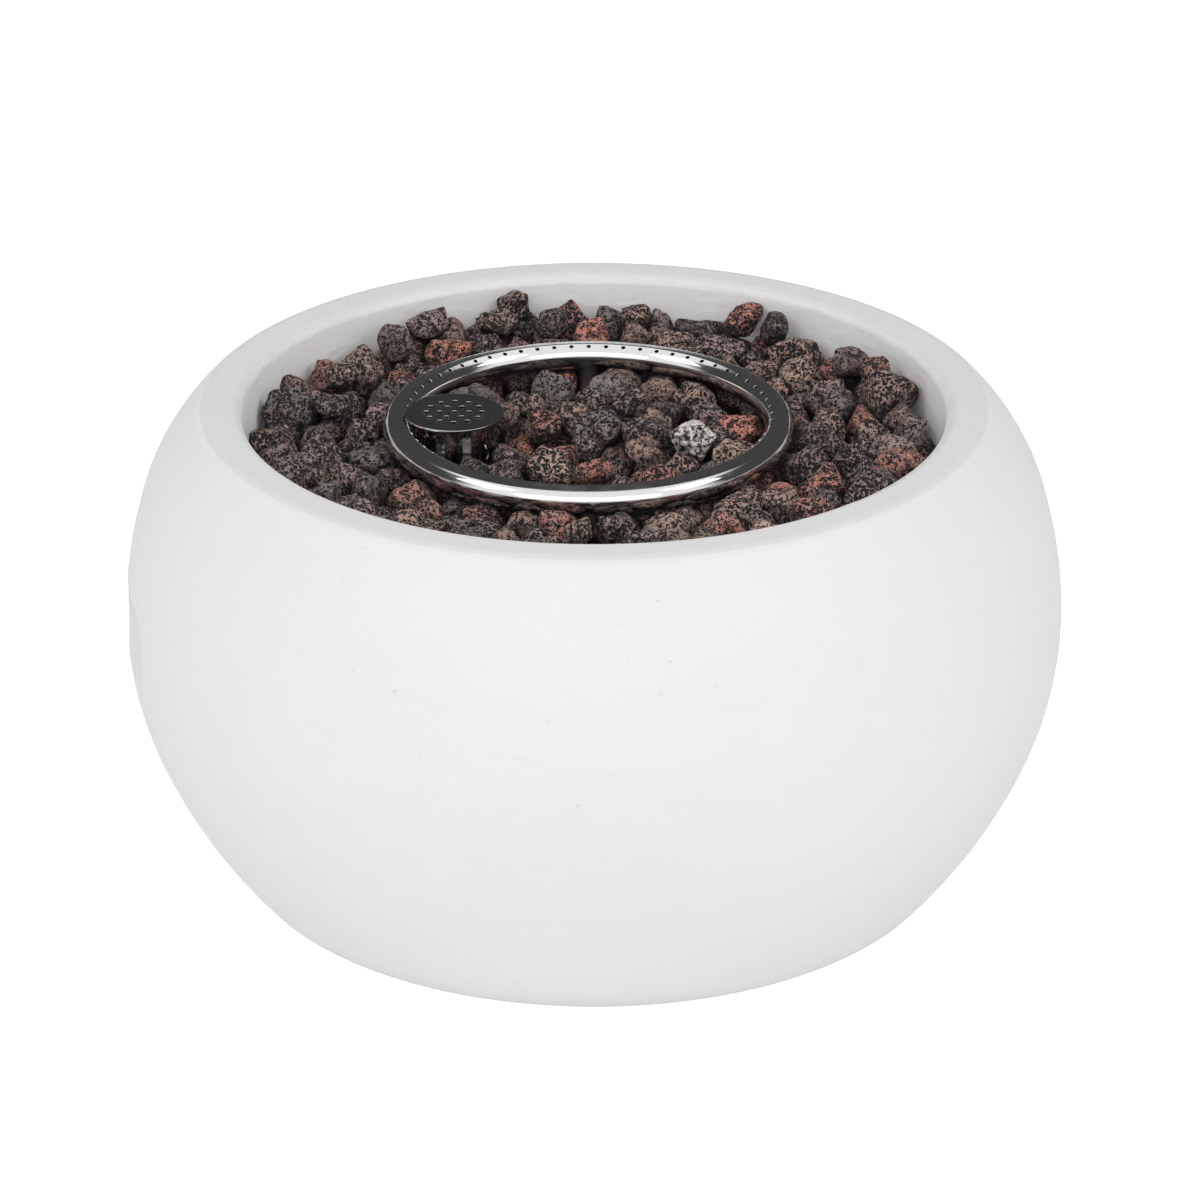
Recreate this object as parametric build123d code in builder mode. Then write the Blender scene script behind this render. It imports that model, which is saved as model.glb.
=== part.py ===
"""Propane fire pit: a cast round bowl, a steel fire pan with a ring burner under lava rock, and a gas train
worked from a control panel set into the back of the bowl. Millimetres, +Z up, origin under the bowl's centre."""

import os
from math import cos, pi, radians, sin, sqrt

import numpy as np
from build123d import *

# Bowl casting
bowl_height = 361.0
base_radius = 270.0
belly_radius = 350.0
belly_height = 195.0
rim_radius = 290.0
mouth_radius = 260.0
mouth_draft = 4.0
lower_swell = 0.9
upper_swell = 0.75
shell_wall = 20.0
inner_wall = 18.0
rim_depth = 45.0
shoulder_radius = 14.0
mouth_edge_radius = 8.0
base_edge_radius = 2.0
foot_height = 18.0
foot_width = 38.0
fire_depth = 62.0
ledge_width = 28.0
ledge_thickness = 18.0

# Hand pockets, one on each side
pocket_width = 116.0
pocket_height = 56.0
pocket_depth = 24.0
pocket_centre_height = 202.0
pocket_grip = 30.0
pocket_corner = 24.0
pocket_backing = 14.0
pocket_turn = 9.5

# Control recess and panel at the back
control_height = 165.0
panel_setback = 28.0
panel_width = 148.0
panel_height = 82.0
panel_corner = 15.0
panel_thickness = 1.5
recess_clearance = 1.0
recess_draft = 8.0
control_backing = 18.0
aperture_width = 118.0
aperture_height = 56.0
panel_screw_inset = 8.0
panel_screw_length = 13.0
knob_x = 34.0
igniter_x = -34.0

# Screws, nuts and running fits
screw_radius = 2.0
screw_head_radius = 3.3
screw_head_height = 2.2
screw_clearance = 0.15
fit_clearance = 0.05

# Fire pan
pan_thickness = 1.5
pan_clearance = 1.0
drain_radius = 3.0
drain_count = 6
drain_circle = 205.0

# Ring burner
burner_x = -4.0
ring_radius = 141.0
ring_tube_radius = 11.0
ring_wall = 1.2
ring_drop = 21.0
port_radius = 1.6
port_count = 64
port_lean = 16.0
land_width = 14.4
land_lean = 5.0
feed_tube_radius = 7.0
feed_height = 7.5
feed_bend = 16.0
hub_radius = 15.0
hub_thread_radius = 10.5
hub_thread_end = 1.0
hub_nut_height = 8.0
hub_nut_flats = 32.0

# Air mixer and jet under the pan
mixer_radius = 14.5
mixer_length = 76.0
mixer_top_gap = 4.0
mixer_socket = 22.0
mixer_bore = 8.0
mixer_window_width = 9.0
mixer_window_height = 22.0
jet_radius = 5.0
jet_bore = 0.6
jet_length = 20.0
jet_hex = 13.0
jet_hex_height = 8.0

# Igniter guard beside the ring
guard_x = -103.0
guard_y = -7.0
guard_radius = 26.0
guard_wall = 1.2
guard_flange = 33.0
guard_slot_count = 8
guard_slot_width = 7.0
guard_slot_length = 27.0
guard_slot_drop = 5.0
guard_screw_count = 3
guard_opening = 17.0
cap_radius = 36.6
cap_thickness = 1.5
cap_drop = 8.0
cap_hole_radius = 2.75
cap_rings = ((6, 11.0), (12, 20.5))

# Spark electrode and flame sensor inside the guard
sensor_y = 6.0
sensor_spread = 9.0
bracket_length = 40.0
bracket_width = 14.0
bracket_rise = 20.0
bracket_thickness = 1.5
electrode_radius = 3.5
electrode_below = 6.0
electrode_above = 28.0
spark_radius = 1.0
spark_rise = 8.0
spark_reach = 7.0
probe_radius = 2.4
probe_below = 4.0
probe_above = 36.0
seat_collar_radius = 5.0
seat_collar_height = 3.0

# Gas valve, stem and knob
valve_radius = 15.0
valve_length = 52.0
valve_flange_thickness = 3.0
valve_flange_width = 24.0
valve_flange_height = 44.0
valve_screw_spacing = 28.0
valve_screw_length = 5.0
valve_neck = 10.0
valve_chamber_radius = 8.1
valve_chamber_end = 42.0
stem_radius = 4.0
stem_inner_end = 36.0
stem_collar_radius = 6.5
stem_collar_thickness = 2.0
stem_flat = 1.0
thrust_cup_length = 5.5
knob_push = 4.0
knob_gap = 1.0
knob_radius = 22.0
knob_skirt = 6.0
knob_height = 19.5
knob_wall = 2.5
knob_boss_radius = 8.0
knob_bar_width = 12.0
knob_cap_thickness = 3.0
magnet_boss_radius = 10.0
magnet_radius = 8.5
magnet_length = 24.0
magnet_set_back = 34.0
port_boss_radius = 7.0
port_boss_length = 13.0
valve_outlet_back = 32.0
spring_wire = 1.0
spring_turns = 4
spring_gap = 0.1
stop_gap = 0.3

# Battery igniter and its button
igniter_radius = 10.7
igniter_flange_radius = 15.0
igniter_flange_thickness = 3.0
igniter_length = 86.0
igniter_nut_height = 6.0
button_radius = 7.0
button_proud = 4.5
button_travel = 3.0
button_neck = 13.0
button_flange = 0.4
button_flange_thickness = 3.0
button_spring_length = 6.5
battery_radius = 7.2
battery_length = 50.0
terminal_length = 8.0

# Gas inlet at the lower back, and the pipes
inlet_height = 62.0
inlet_setback = 20.0
inlet_recess_radius = 26.0
inlet_backing = 18.0
inlet_boss_radius = 36.0
inlet_thread_radius = 7.94
inlet_thread_length = 18.0
inlet_nose = 3.0
inlet_bore = 4.5
inlet_hex = 24.0
inlet_hex_height = 6.0
inlet_tail = 12.0
inlet_nut_height = 8.0
pipe_radius = 4.0
pipe_nut_flats = 14.0
pipe_nut_height = 10.0
pipe_bend = 28.0
pipe_reach = 40.0
supply_height = 85.0
lead_radius = 1.5
spark_lead_radius = 2.5
lead_drop = 46.0
lead_bend = 20.0

# Lava rock
rock_seed = 11
rock_least = 13.0
rock_most = 24.0
rock_cover = 0.92
rock_settling = 220
rock_toppers = 6000
topper_most = 20.0
topper_least = 11.0
topper_sink = 0.55
rock_gap = 0.3
rock_corners = 14
rock_leanest = 0.82
rock_swell = 1.4
rock_top_drop = 23.0
rock_top_middle = 12.0
rock_top_bank = 15.0

# Levels and places that follow from the sizes above
ledge_top = bowl_height - fire_depth
ledge_radius = mouth_radius - mouth_draft
pan_top = ledge_top + pan_thickness
ring_height = bowl_height - ring_drop
feed_level = pan_top + feed_height
cap_underside = bowl_height - cap_drop - cap_thickness
panel_face = belly_radius - panel_setback
pocket_floor = belly_radius - pocket_depth
electrode_x = guard_x + sensor_spread
probe_x = guard_x - sensor_spread
sensor_line = guard_y + sensor_y
bracket_top = pan_top + bracket_rise
mixer_top = ledge_top - hub_nut_height - mixer_top_gap
mixer_foot = mixer_top - mixer_length
hub_thread_length = pan_top - mixer_top + mixer_socket - hub_thread_end
jet_foot = mixer_foot - jet_hex_height


def bowl_radius(height):
    """Outer radius of the bowl: a sine sweep from the base to the belly, then a fuller curve in to the rim."""
    if height <= belly_height:
        sweep = sin(pi / 2 * (height / belly_height) ** lower_swell)
        return base_radius + (belly_radius - base_radius) * sweep
    rise = (height - belly_height) / (bowl_height - belly_height)
    return rim_radius + (belly_radius - rim_radius) * (1 - rise**2) ** upper_swell


def steps(first, last, count):
    """Evenly spaced heights from first to last, both included."""
    return [first + (last - first) * i / count for i in range(count + 1)]


def facing_back(x, y, z):
    """Work plane that looks out of the back of the bowl, with its own Z along +Y."""
    return Plane(origin=(x, y, z), x_dir=(1, 0, 0), z_dir=(0, 1, 0))


def pipe_along(points, bend, radius):
    """Pipe or lead with an eight-sided section, along straight runs joined by tangent bends."""
    with BuildPart() as pipe:
        with BuildLine() as route:
            FilletPolyline(*points, radius=bend)
        with BuildSketch(Plane(origin=route.line @ 0, z_dir=route.line % 0)):
            RegularPolygon(radius, 8)
        sweep(path=route.line)
    return pipe


def hex_nut(plane, flats, height, bore):
    """Hexagon nut standing on a plane, with a plain bore."""
    with BuildPart() as nut:
        with BuildSketch(plane):
            RegularPolygon(flats / 2, 6, major_radius=False)
            Circle(bore, mode=Mode.SUBTRACT)
        extrude(amount=height)
    return nut


def coil_spring(x, y, z, radius, wire, length, turns):
    """Compression spring of square wire along +Y, length long over its wire."""
    with BuildPart() as spring:
        with BuildLine() as coil:
            rise = length - wire
            Helix(rise / turns, rise, radius, center=(x, y + wire / 2, z), direction=(0, 1, 0))
        with BuildSketch(Plane(origin=coil.line @ 0, x_dir=(0, 1, 0), z_dir=coil.line % 0)):
            Rectangle(wire, wire)
        sweep(path=coil.line, is_frenet=True)
    return spring


pieces = {}

# Bowl: cast shell with a folded rim, a hand pocket on each side and an open foot
seam = radians(45)
bowl_plane = Plane((0, 0, 0), x_dir=(cos(seam), sin(seam), 0), z_dir=(sin(seam), -cos(seam), 0))
void_top = bowl_height - rim_depth
inside_heights = steps(foot_height, belly_height, 2) + steps(belly_height, void_top, 2)[1:]
outside_heights = steps(0, belly_height, 4) + steps(belly_height, bowl_height, 4)[1:]
outside_arcs = list(zip(outside_heights[0::2], outside_heights[1::2], outside_heights[2::2]))

with BuildPart() as wall_core:
    with BuildSketch(bowl_plane):
        with BuildLine():
            for heights in outside_arcs:
                ThreePointArc(*[(bowl_radius(z) - shell_wall / 2, z) for z in heights])
            Polyline(
                (rim_radius - shell_wall / 2, bowl_height),
                (0, bowl_height),
                (0, 0),
                (base_radius - shell_wall / 2, 0),
            )
        make_face()
    revolve(axis=Axis.Z)

with BuildPart() as pocket_wall:
    with BuildSketch(Plane.YZ.offset(pocket_floor - pocket_backing)):
        with Locations((0, pocket_centre_height)):
            RectangleRounded(
                pocket_width + 2 * pocket_backing, pocket_height + 2 * pocket_backing, pocket_corner
            )
    extrude(amount=pocket_backing + pocket_depth)

with BuildPart() as wall_backing:
    for side in (0, 180):
        add(pocket_wall.part.rotate(Axis.Z, pocket_turn + side))
    with BuildSketch(facing_back(0, panel_face - control_backing, control_height)):
        RectangleRounded(
            panel_width + 2 * control_backing, panel_height + 2 * control_backing, panel_corner
        )
    extrude(amount=control_backing + panel_setback)
    inlet_face = bowl_radius(inlet_height) - inlet_setback
    with BuildSketch(facing_back(0, inlet_face - inlet_backing, inlet_height)):
        Circle(inlet_boss_radius)
    extrude(amount=inlet_backing + inlet_setback)
    add(wall_core.part, mode=Mode.INTERSECT)

with BuildPart() as pocket_hollow:
    pocket_top = pocket_centre_height + pocket_height / 2
    pocket_foot = pocket_centre_height - pocket_height / 2
    pocket_reach = belly_radius + pocket_depth
    with BuildSketch(Plane.XZ) as pocket_side:
        with BuildLine():
            Polyline(
                (pocket_reach, pocket_top),
                (pocket_floor, pocket_top),
                (pocket_floor, pocket_top - pocket_grip),
                (bowl_radius(pocket_foot), pocket_foot),
                (pocket_reach, pocket_foot),
                close=True,
            )
        make_face()
    extrude(amount=pocket_width / 2, both=True)
    with BuildSketch(Plane.YZ.offset(pocket_floor - pocket_backing)):
        with Locations((0, pocket_centre_height)):
            RectangleRounded(pocket_width, pocket_height, pocket_corner)
    extrude(amount=2 * pocket_depth + pocket_backing, mode=Mode.INTERSECT)

lip_radius = mouth_radius - mouth_draft * rim_depth / fire_depth
with BuildPart() as bowl_body:
    with BuildSketch(bowl_plane) as bowl_section:
        with BuildLine():
            for heights in outside_arcs:
                ThreePointArc(*[(bowl_radius(z), z) for z in heights])
            Polyline(
                (rim_radius, bowl_height),
                (mouth_radius, bowl_height),
                (lip_radius, void_top),
                *[(bowl_radius(z) - shell_wall, z) for z in reversed(inside_heights)],
                (base_radius - foot_width, foot_height),
                (base_radius - foot_width, 0),
                (base_radius, 0),
            )
        make_face()
        for corner, radius in (
            ((rim_radius, bowl_height), shoulder_radius),
            ((mouth_radius, bowl_height), mouth_edge_radius),
            ((base_radius, 0), base_edge_radius),
        ):
            fillet(bowl_section.vertices().sort_by_distance(corner)[0], radius)
    revolve(axis=Axis.Z)
    add(wall_backing.part)
    for side in (0, 180):
        add(pocket_hollow.part.rotate(Axis.Z, pocket_turn + side), mode=Mode.SUBTRACT)
    recess_width = panel_width + 2 * recess_clearance
    recess_height = panel_height + 2 * recess_clearance
    with BuildSketch(facing_back(0, panel_face, control_height)):
        RectangleRounded(recess_width, recess_height, panel_corner + recess_clearance)
    extrude(amount=panel_setback + recess_clearance, taper=-recess_draft, mode=Mode.SUBTRACT)
    with BuildSketch(facing_back(0, panel_face, control_height)):
        RectangleRounded(aperture_width, aperture_height, panel_corner)
    extrude(amount=-2 * control_backing, mode=Mode.SUBTRACT)
    screw_span_x = panel_width - 2 * panel_screw_inset
    screw_span_z = panel_height - 2 * panel_screw_inset
    with BuildSketch(facing_back(0, panel_face, control_height)):
        with GridLocations(screw_span_x, screw_span_z, 2, 2):
            Circle(screw_radius + screw_clearance)
    extrude(amount=-panel_screw_length, mode=Mode.SUBTRACT)
    with BuildSketch(facing_back(0, inlet_face, inlet_height)):
        Circle(inlet_recess_radius)
    extrude(amount=inlet_setback + inlet_recess_radius, mode=Mode.SUBTRACT)
    with BuildSketch(facing_back(0, inlet_face, inlet_height)):
        Circle(inlet_thread_radius + screw_clearance)
    extrude(amount=-2 * inlet_backing, mode=Mode.SUBTRACT)
pieces["bowl_body"] = bowl_body

# Pan ledge: the inner wall of the bowl, cast as a ring and bonded under the folded rim, with a ledge for the pan
with BuildPart() as pan_ledge:
    with BuildSketch(bowl_plane):
        with BuildLine():
            Polyline(
                (lip_radius, void_top),
                (ledge_radius, ledge_top),
                (ledge_radius - ledge_width, ledge_top),
                (ledge_radius - ledge_width, ledge_top - ledge_thickness),
                (ledge_radius + inner_wall, ledge_top - ledge_thickness),
                (ledge_radius + inner_wall, void_top),
                close=True,
            )
        make_face()
    revolve(axis=Axis.Z)
pieces["pan_ledge"] = pan_ledge

# Fire pan: flat steel plate on the bowl's ledge, with drain holes
pan_radius = ledge_radius - pan_clearance
with BuildPart() as fire_pan:
    with BuildSketch(Plane.XY.offset(ledge_top)):
        Circle(pan_radius)
    extrude(amount=pan_thickness)
    with BuildSketch(Plane.XY.offset(ledge_top)):
        with Locations((burner_x, 0)):
            Circle(hub_thread_radius + screw_clearance)
        with Locations((guard_x, guard_y)):
            Circle(guard_opening)
        with Locations((guard_x, guard_y)):
            with PolarLocations((guard_radius + guard_flange) / 2, guard_screw_count, start_angle=90):
                Circle(screw_radius + screw_clearance)
        with PolarLocations(drain_circle, drain_count, start_angle=180 / drain_count):
            Circle(drain_radius)
    extrude(amount=pan_thickness, mode=Mode.SUBTRACT)
pieces["fire_pan"] = fire_pan

# Burner ring: rolled stainless channel under a flat land, drilled with flame ports that lean in to the middle
land_height = sqrt(ring_tube_radius**2 - (land_width / 2) ** 2)
lean = radians(port_lean)
port_plane = Plane(
    origin=(ring_radius, 0, 0), x_dir=(cos(lean), 0, sin(lean)), z_dir=(-sin(lean), 0, cos(lean))
)
with BuildPart(mode=Mode.PRIVATE) as port:
    with BuildSketch(port_plane):
        RegularPolygon(port_radius, 6)
    extrude(amount=ring_tube_radius + ring_wall)

with BuildPart() as burner_ring:
    with BuildSketch(Plane.XZ):
        with Locations(Location((burner_x + ring_radius, ring_height), land_lean)):
            Circle(ring_tube_radius)
            with Locations((0, land_height)):
                Rectangle(
                    2 * ring_tube_radius,
                    ring_tube_radius,
                    align=(Align.CENTER, Align.MIN),
                    mode=Mode.SUBTRACT,
                )
            RegularPolygon(ring_tube_radius - ring_wall, 6, mode=Mode.SUBTRACT)
            with Locations((0, land_height)):
                Rectangle(land_width, ring_wall, align=(Align.CENTER, Align.MAX))
    revolve(axis=Axis((burner_x, 0, 0), (0, 0, 1)))
    with Locations((burner_x, 0, ring_height)):
        with PolarLocations(0, port_count):
            add(port.part, mode=Mode.SUBTRACT)
pieces["burner_ring"] = burner_ring

# Feed bar: a bent tube under the ring on a threaded hub that hangs the burner on the pan
with BuildPart() as burner_feed_bar:
    with BuildLine() as feed_route:
        FilletPolyline(
            (burner_x, -ring_radius, ring_height),
            (burner_x, -ring_radius, feed_level),
            (burner_x, ring_radius, feed_level),
            (burner_x, ring_radius, ring_height),
            radius=feed_bend,
        )
    with BuildSketch(Plane(origin=feed_route.line @ 0, z_dir=(0, 0, -1))):
        Circle(feed_tube_radius)
    sweep(path=feed_route.line)
    with BuildSketch(Plane.XY.offset(pan_top)):
        with Locations((burner_x, 0)):
            Circle(hub_radius)
    extrude(amount=feed_height)
    with BuildSketch(Plane.XY.offset(pan_top)):
        with Locations((burner_x, 0)):
            Circle(hub_thread_radius)
    extrude(amount=-hub_thread_length)
    with BuildSketch(Plane.XY.offset(feed_level)):
        with Locations((burner_x, 0)):
            Circle(mixer_bore)
    extrude(amount=-feed_height - hub_thread_length, mode=Mode.SUBTRACT)
    with BuildSketch(Plane.XZ):
        with Locations((burner_x + ring_radius, ring_height)):
            Circle(ring_tube_radius)
    revolve(axis=Axis((burner_x, 0, 0), (0, 0, 1)), mode=Mode.SUBTRACT)
pieces["burner_feed_bar"] = burner_feed_bar

# Hub nut: clamps the burner's hub to the pan from below
pieces["hub_nut"] = hex_nut(
    Plane((burner_x, 0, ledge_top - hub_nut_height)),
    hub_nut_flats,
    hub_nut_height,
    hub_thread_radius + fit_clearance,
)

# Air mixer: cast tube on the hub's thread, with windows that draw in air above the jet
with BuildPart(Plane((burner_x, 0, mixer_foot))) as air_mixer:
    Cylinder(mixer_radius, mixer_length, align=(Align.CENTER, Align.CENTER, Align.MIN))
    with Locations((0, 0, mixer_length - mixer_socket)):
        Cylinder(
            hub_thread_radius + fit_clearance,
            mixer_socket,
            align=(Align.CENTER, Align.CENTER, Align.MIN),
            mode=Mode.SUBTRACT,
        )
    Cylinder(
        jet_radius + fit_clearance,
        mixer_length,
        align=(Align.CENTER, Align.CENTER, Align.MIN),
        mode=Mode.SUBTRACT,
    )
    with Locations((0, 0, jet_length - jet_hex_height)):
        Cylinder(
            mixer_bore,
            mixer_length - mixer_socket - jet_length + jet_hex_height,
            align=(Align.CENTER, Align.CENTER, Align.MIN),
            mode=Mode.SUBTRACT,
        )
    with Locations((0, 0, jet_length + mixer_window_height / 2)):
        Box(mixer_window_width, 3 * mixer_radius, mixer_window_height, mode=Mode.SUBTRACT)
        Box(3 * mixer_radius, mixer_window_width, mixer_window_height, mode=Mode.SUBTRACT)
    chamfer(air_mixer.edges().group_by(Axis.Z)[0].sort_by(SortBy.RADIUS)[-1], mixer_radius / 4)
pieces["air_mixer"] = air_mixer

# Gas jet: brass, screwed up into the mixer's foot, with a fine bore
with BuildPart(Plane((burner_x, 0, jet_foot))) as gas_jet:
    with BuildSketch(Plane((burner_x, 0, jet_foot))):
        RegularPolygon(jet_hex / 2, 6, major_radius=False)
    extrude(amount=jet_hex_height)
    Cylinder(jet_radius, jet_length, align=(Align.CENTER, Align.CENTER, Align.MIN))
    Cylinder(
        jet_bore, jet_length, align=(Align.CENTER, Align.CENTER, Align.MIN), mode=Mode.SUBTRACT
    )
pieces["gas_jet"] = gas_jet

# Igniter guard: slotted steel sleeve on the pan, open below for the leads
with BuildPart(Plane((guard_x, guard_y, pan_top))) as igniter_guard:
    sleeve_height = cap_underside - pan_top
    Cylinder(guard_flange, guard_wall, align=(Align.CENTER, Align.CENTER, Align.MIN))
    Cylinder(guard_radius, sleeve_height, align=(Align.CENTER, Align.CENTER, Align.MIN))
    Cylinder(
        guard_radius - guard_wall,
        sleeve_height,
        align=(Align.CENTER, Align.CENTER, Align.MIN),
        mode=Mode.SUBTRACT,
    )
    with Locations((0, 0, 0)):
        with PolarLocations((guard_radius + guard_flange) / 2, guard_screw_count, start_angle=90):
            Hole(screw_radius + screw_clearance)
    slot_middle = sleeve_height - guard_slot_drop - guard_slot_length / 2
    with BuildPart(mode=Mode.PRIVATE) as guard_slot:
        with BuildSketch(Plane.YZ):
            SlotOverall(guard_slot_length, guard_slot_width, rotation=90)
        extrude(amount=2 * guard_radius)
    with Locations((0, 0, slot_middle)):
        with PolarLocations(0, guard_slot_count, start_angle=180 / guard_slot_count):
            add(guard_slot.part, mode=Mode.SUBTRACT)
pieces["igniter_guard"] = igniter_guard

# Guard cap: perforated disc that closes the sleeve against falling rock
with BuildPart() as guard_cap:
    with BuildSketch(Plane((guard_x, guard_y, cap_underside))):
        Circle(cap_radius)
        Circle(cap_hole_radius, mode=Mode.SUBTRACT)
        for hole_count, circle in cap_rings:
            with PolarLocations(circle, hole_count):
                Circle(cap_hole_radius, mode=Mode.SUBTRACT)
    extrude(amount=cap_thickness)
pieces["guard_cap"] = guard_cap

# Guard screws: hold the sleeve's flange to the pan
with BuildPart(Plane((guard_x, guard_y, pan_top + guard_wall))) as guard_screws:
    with PolarLocations((guard_radius + guard_flange) / 2, guard_screw_count, start_angle=90):
        Cylinder(
            screw_head_radius, screw_head_height, align=(Align.CENTER, Align.CENTER, Align.MIN)
        )
        Cylinder(
            screw_radius, 4 * pan_thickness, align=(Align.CENTER, Align.CENTER, Align.MAX)
        )
pieces["guard_screws"] = guard_screws

# Sensor bracket: bent strip that stands over the pan's opening and carries the spark rod and the probe
with BuildPart(Plane((guard_x, sensor_line, pan_top))) as sensor_bracket:
    Box(
        bracket_length,
        bracket_width,
        bracket_rise,
        align=(Align.CENTER, Align.CENTER, Align.MIN),
    )
    Box(
        bracket_length - 2 * bracket_thickness,
        bracket_width,
        bracket_rise - bracket_thickness,
        align=(Align.CENTER, Align.CENTER, Align.MIN),
        mode=Mode.SUBTRACT,
    )
    with Locations((sensor_spread, 0)):
        Cylinder(electrode_radius + fit_clearance, 3 * bracket_rise, mode=Mode.SUBTRACT)
    with Locations((-sensor_spread, 0)):
        Cylinder(probe_radius + fit_clearance, 3 * bracket_rise, mode=Mode.SUBTRACT)
pieces["sensor_bracket"] = sensor_bracket

# Electrode insulator: ceramic tube with a collar that rests on the bracket
with BuildPart(Plane((electrode_x, sensor_line, pan_top))) as electrode_insulator:
    with Locations((0, 0, -electrode_below)):
        Cylinder(
            electrode_radius,
            electrode_below + electrode_above,
            align=(Align.CENTER, Align.CENTER, Align.MIN),
        )
    with Locations((0, 0, bracket_rise)):
        Cylinder(
            seat_collar_radius, seat_collar_height, align=(Align.CENTER, Align.CENTER, Align.MIN)
        )
    Cylinder(spark_radius + fit_clearance, 3 * electrode_above, mode=Mode.SUBTRACT)
pieces["electrode_insulator"] = electrode_insulator

# Spark rod: wire through the insulator, bent over at the top towards the probe
spark_foot = pan_top - electrode_below - 2 * spark_rise / 3
spark_top = pan_top + electrode_above + spark_rise
pieces["spark_rod"] = pipe_along(
    (
        (electrode_x, sensor_line, spark_foot),
        (electrode_x, sensor_line, spark_top),
        (electrode_x - spark_reach, sensor_line, spark_top),
    ),
    2 * spark_radius,
    spark_radius,
)

# Flame probe: metal thermocouple tip with a collar on the bracket
with BuildPart(Plane((probe_x, sensor_line, pan_top))) as flame_probe:
    with Locations((0, 0, -probe_below)):
        Cylinder(
            probe_radius,
            probe_below + probe_above,
            align=(Align.CENTER, Align.CENTER, Align.MIN),
        )
    chamfer(flame_probe.edges().group_by(Axis.Z)[-1], probe_radius / 2)
    with Locations((0, 0, bracket_rise)):
        Cylinder(
            seat_collar_radius, seat_collar_height, align=(Align.CENTER, Align.CENTER, Align.MIN)
        )
pieces["flame_probe"] = flame_probe

# Control panel: flat stainless plate screwed into the recess, carrying the valve and the igniter
with BuildPart() as control_panel:
    with BuildSketch(facing_back(0, panel_face, control_height)):
        RectangleRounded(panel_width, panel_height, panel_corner)
        with GridLocations(screw_span_x, screw_span_z, 2, 2):
            Circle(screw_radius + screw_clearance, mode=Mode.SUBTRACT)
        with Locations((knob_x, 0)):
            Circle(stem_collar_radius, mode=Mode.SUBTRACT)
            with GridLocations(0, valve_screw_spacing, 1, 2):
                Circle(screw_radius + screw_clearance, mode=Mode.SUBTRACT)
        with Locations((igniter_x, 0)):
            Circle(igniter_radius + screw_clearance, mode=Mode.SUBTRACT)
    extrude(amount=panel_thickness)
pieces["control_panel"] = control_panel

# Panel screws: four round heads at the panel's corners
with BuildPart(facing_back(0, panel_face + panel_thickness, control_height)) as panel_screws:
    with GridLocations(screw_span_x, screw_span_z, 2, 2):
        Cylinder(
            screw_head_radius, screw_head_height, align=(Align.CENTER, Align.CENTER, Align.MIN)
        )
        Cylinder(
            screw_radius, panel_screw_length, align=(Align.CENTER, Align.CENTER, Align.MAX)
        )
pieces["panel_screws"] = panel_screws

# Gas valve body: flanged barrel behind the panel, with a spring chamber, an inlet, an outlet and a magnet seat
back_align = (Align.CENTER, Align.CENTER, Align.MAX)
front_align = (Align.CENTER, Align.CENTER, Align.MIN)
with BuildPart(facing_back(knob_x, panel_face, control_height)) as valve_body:
    Box(valve_flange_width, valve_flange_height, valve_flange_thickness, align=back_align)
    Cylinder(valve_radius, valve_length, align=back_align)
    with Locations((0, 0, -valve_length)):
        Cylinder(port_boss_radius, port_boss_length / 2, align=back_align)
    with Locations(Location((0, 0, -valve_outlet_back), (-90, 0, 0))):
        Cylinder(port_boss_radius, valve_radius + port_boss_length, align=front_align)
    with Locations(Location((0, 0, -magnet_set_back), (90, 0, 0))):
        Cylinder(magnet_boss_radius, valve_radius + magnet_boss_radius / 2, align=front_align)
    Cylinder(stem_radius + fit_clearance, valve_chamber_end, align=back_align, mode=Mode.SUBTRACT)
    with Locations((0, 0, -valve_neck)):
        Cylinder(
            valve_chamber_radius,
            valve_chamber_end - valve_neck,
            align=back_align,
            mode=Mode.SUBTRACT,
        )
    with GridLocations(0, valve_screw_spacing, 1, 2):
        Cylinder(
            screw_radius + screw_clearance,
            2 * valve_screw_length,
            mode=Mode.SUBTRACT,
        )
pieces["valve_body"] = valve_body

# Valve screws: hold the valve's flange to the back of the panel, under the knob
with BuildPart(facing_back(knob_x, panel_face + panel_thickness, control_height)) as valve_screws:
    with GridLocations(0, valve_screw_spacing, 1, 2):
        Cylinder(screw_head_radius, screw_head_height, align=front_align)
        Cylinder(screw_radius, valve_screw_length, align=back_align)
pieces["valve_screws"] = valve_screws

# Safety magnet: cartridge on top of the valve that the flame probe holds open
magnet_y = panel_face - magnet_set_back
magnet_foot = control_height + valve_radius + magnet_boss_radius / 2
with BuildPart(Plane((knob_x, magnet_y, magnet_foot))) as safety_magnet:
    Cylinder(magnet_radius, magnet_length, align=front_align)
    with Locations((0, 0, magnet_length)):
        Cylinder(pipe_radius, magnet_boss_radius / 2, align=front_align)
    chamfer(safety_magnet.faces().sort_by(Axis.Z)[-2].outer_wire().edges(), 1.5)
pieces["safety_magnet"] = safety_magnet

# Valve stem: turned rod with a stop collar and a flat for the knob
knob_back = panel_thickness + knob_push + knob_gap
knob_front = knob_back + knob_height
stem_end = knob_front - knob_cap_thickness
collar_front = valve_neck + stop_gap
with BuildPart(facing_back(knob_x, panel_face, control_height)) as valve_stem:
    with Locations((0, 0, stem_end)):
        Cylinder(stem_radius, stem_end + stem_inner_end, align=back_align)
    with Locations((0, 0, -collar_front)):
        Cylinder(stem_collar_radius, stem_collar_thickness, align=back_align)
    with Locations((0, stem_radius - stem_flat, stem_end)):
        Box(
            3 * stem_radius,
            stem_radius,
            stem_end - knob_back,
            align=(Align.CENTER, Align.MIN, Align.MAX),
            mode=Mode.SUBTRACT,
        )
pieces["valve_stem"] = valve_stem

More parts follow.
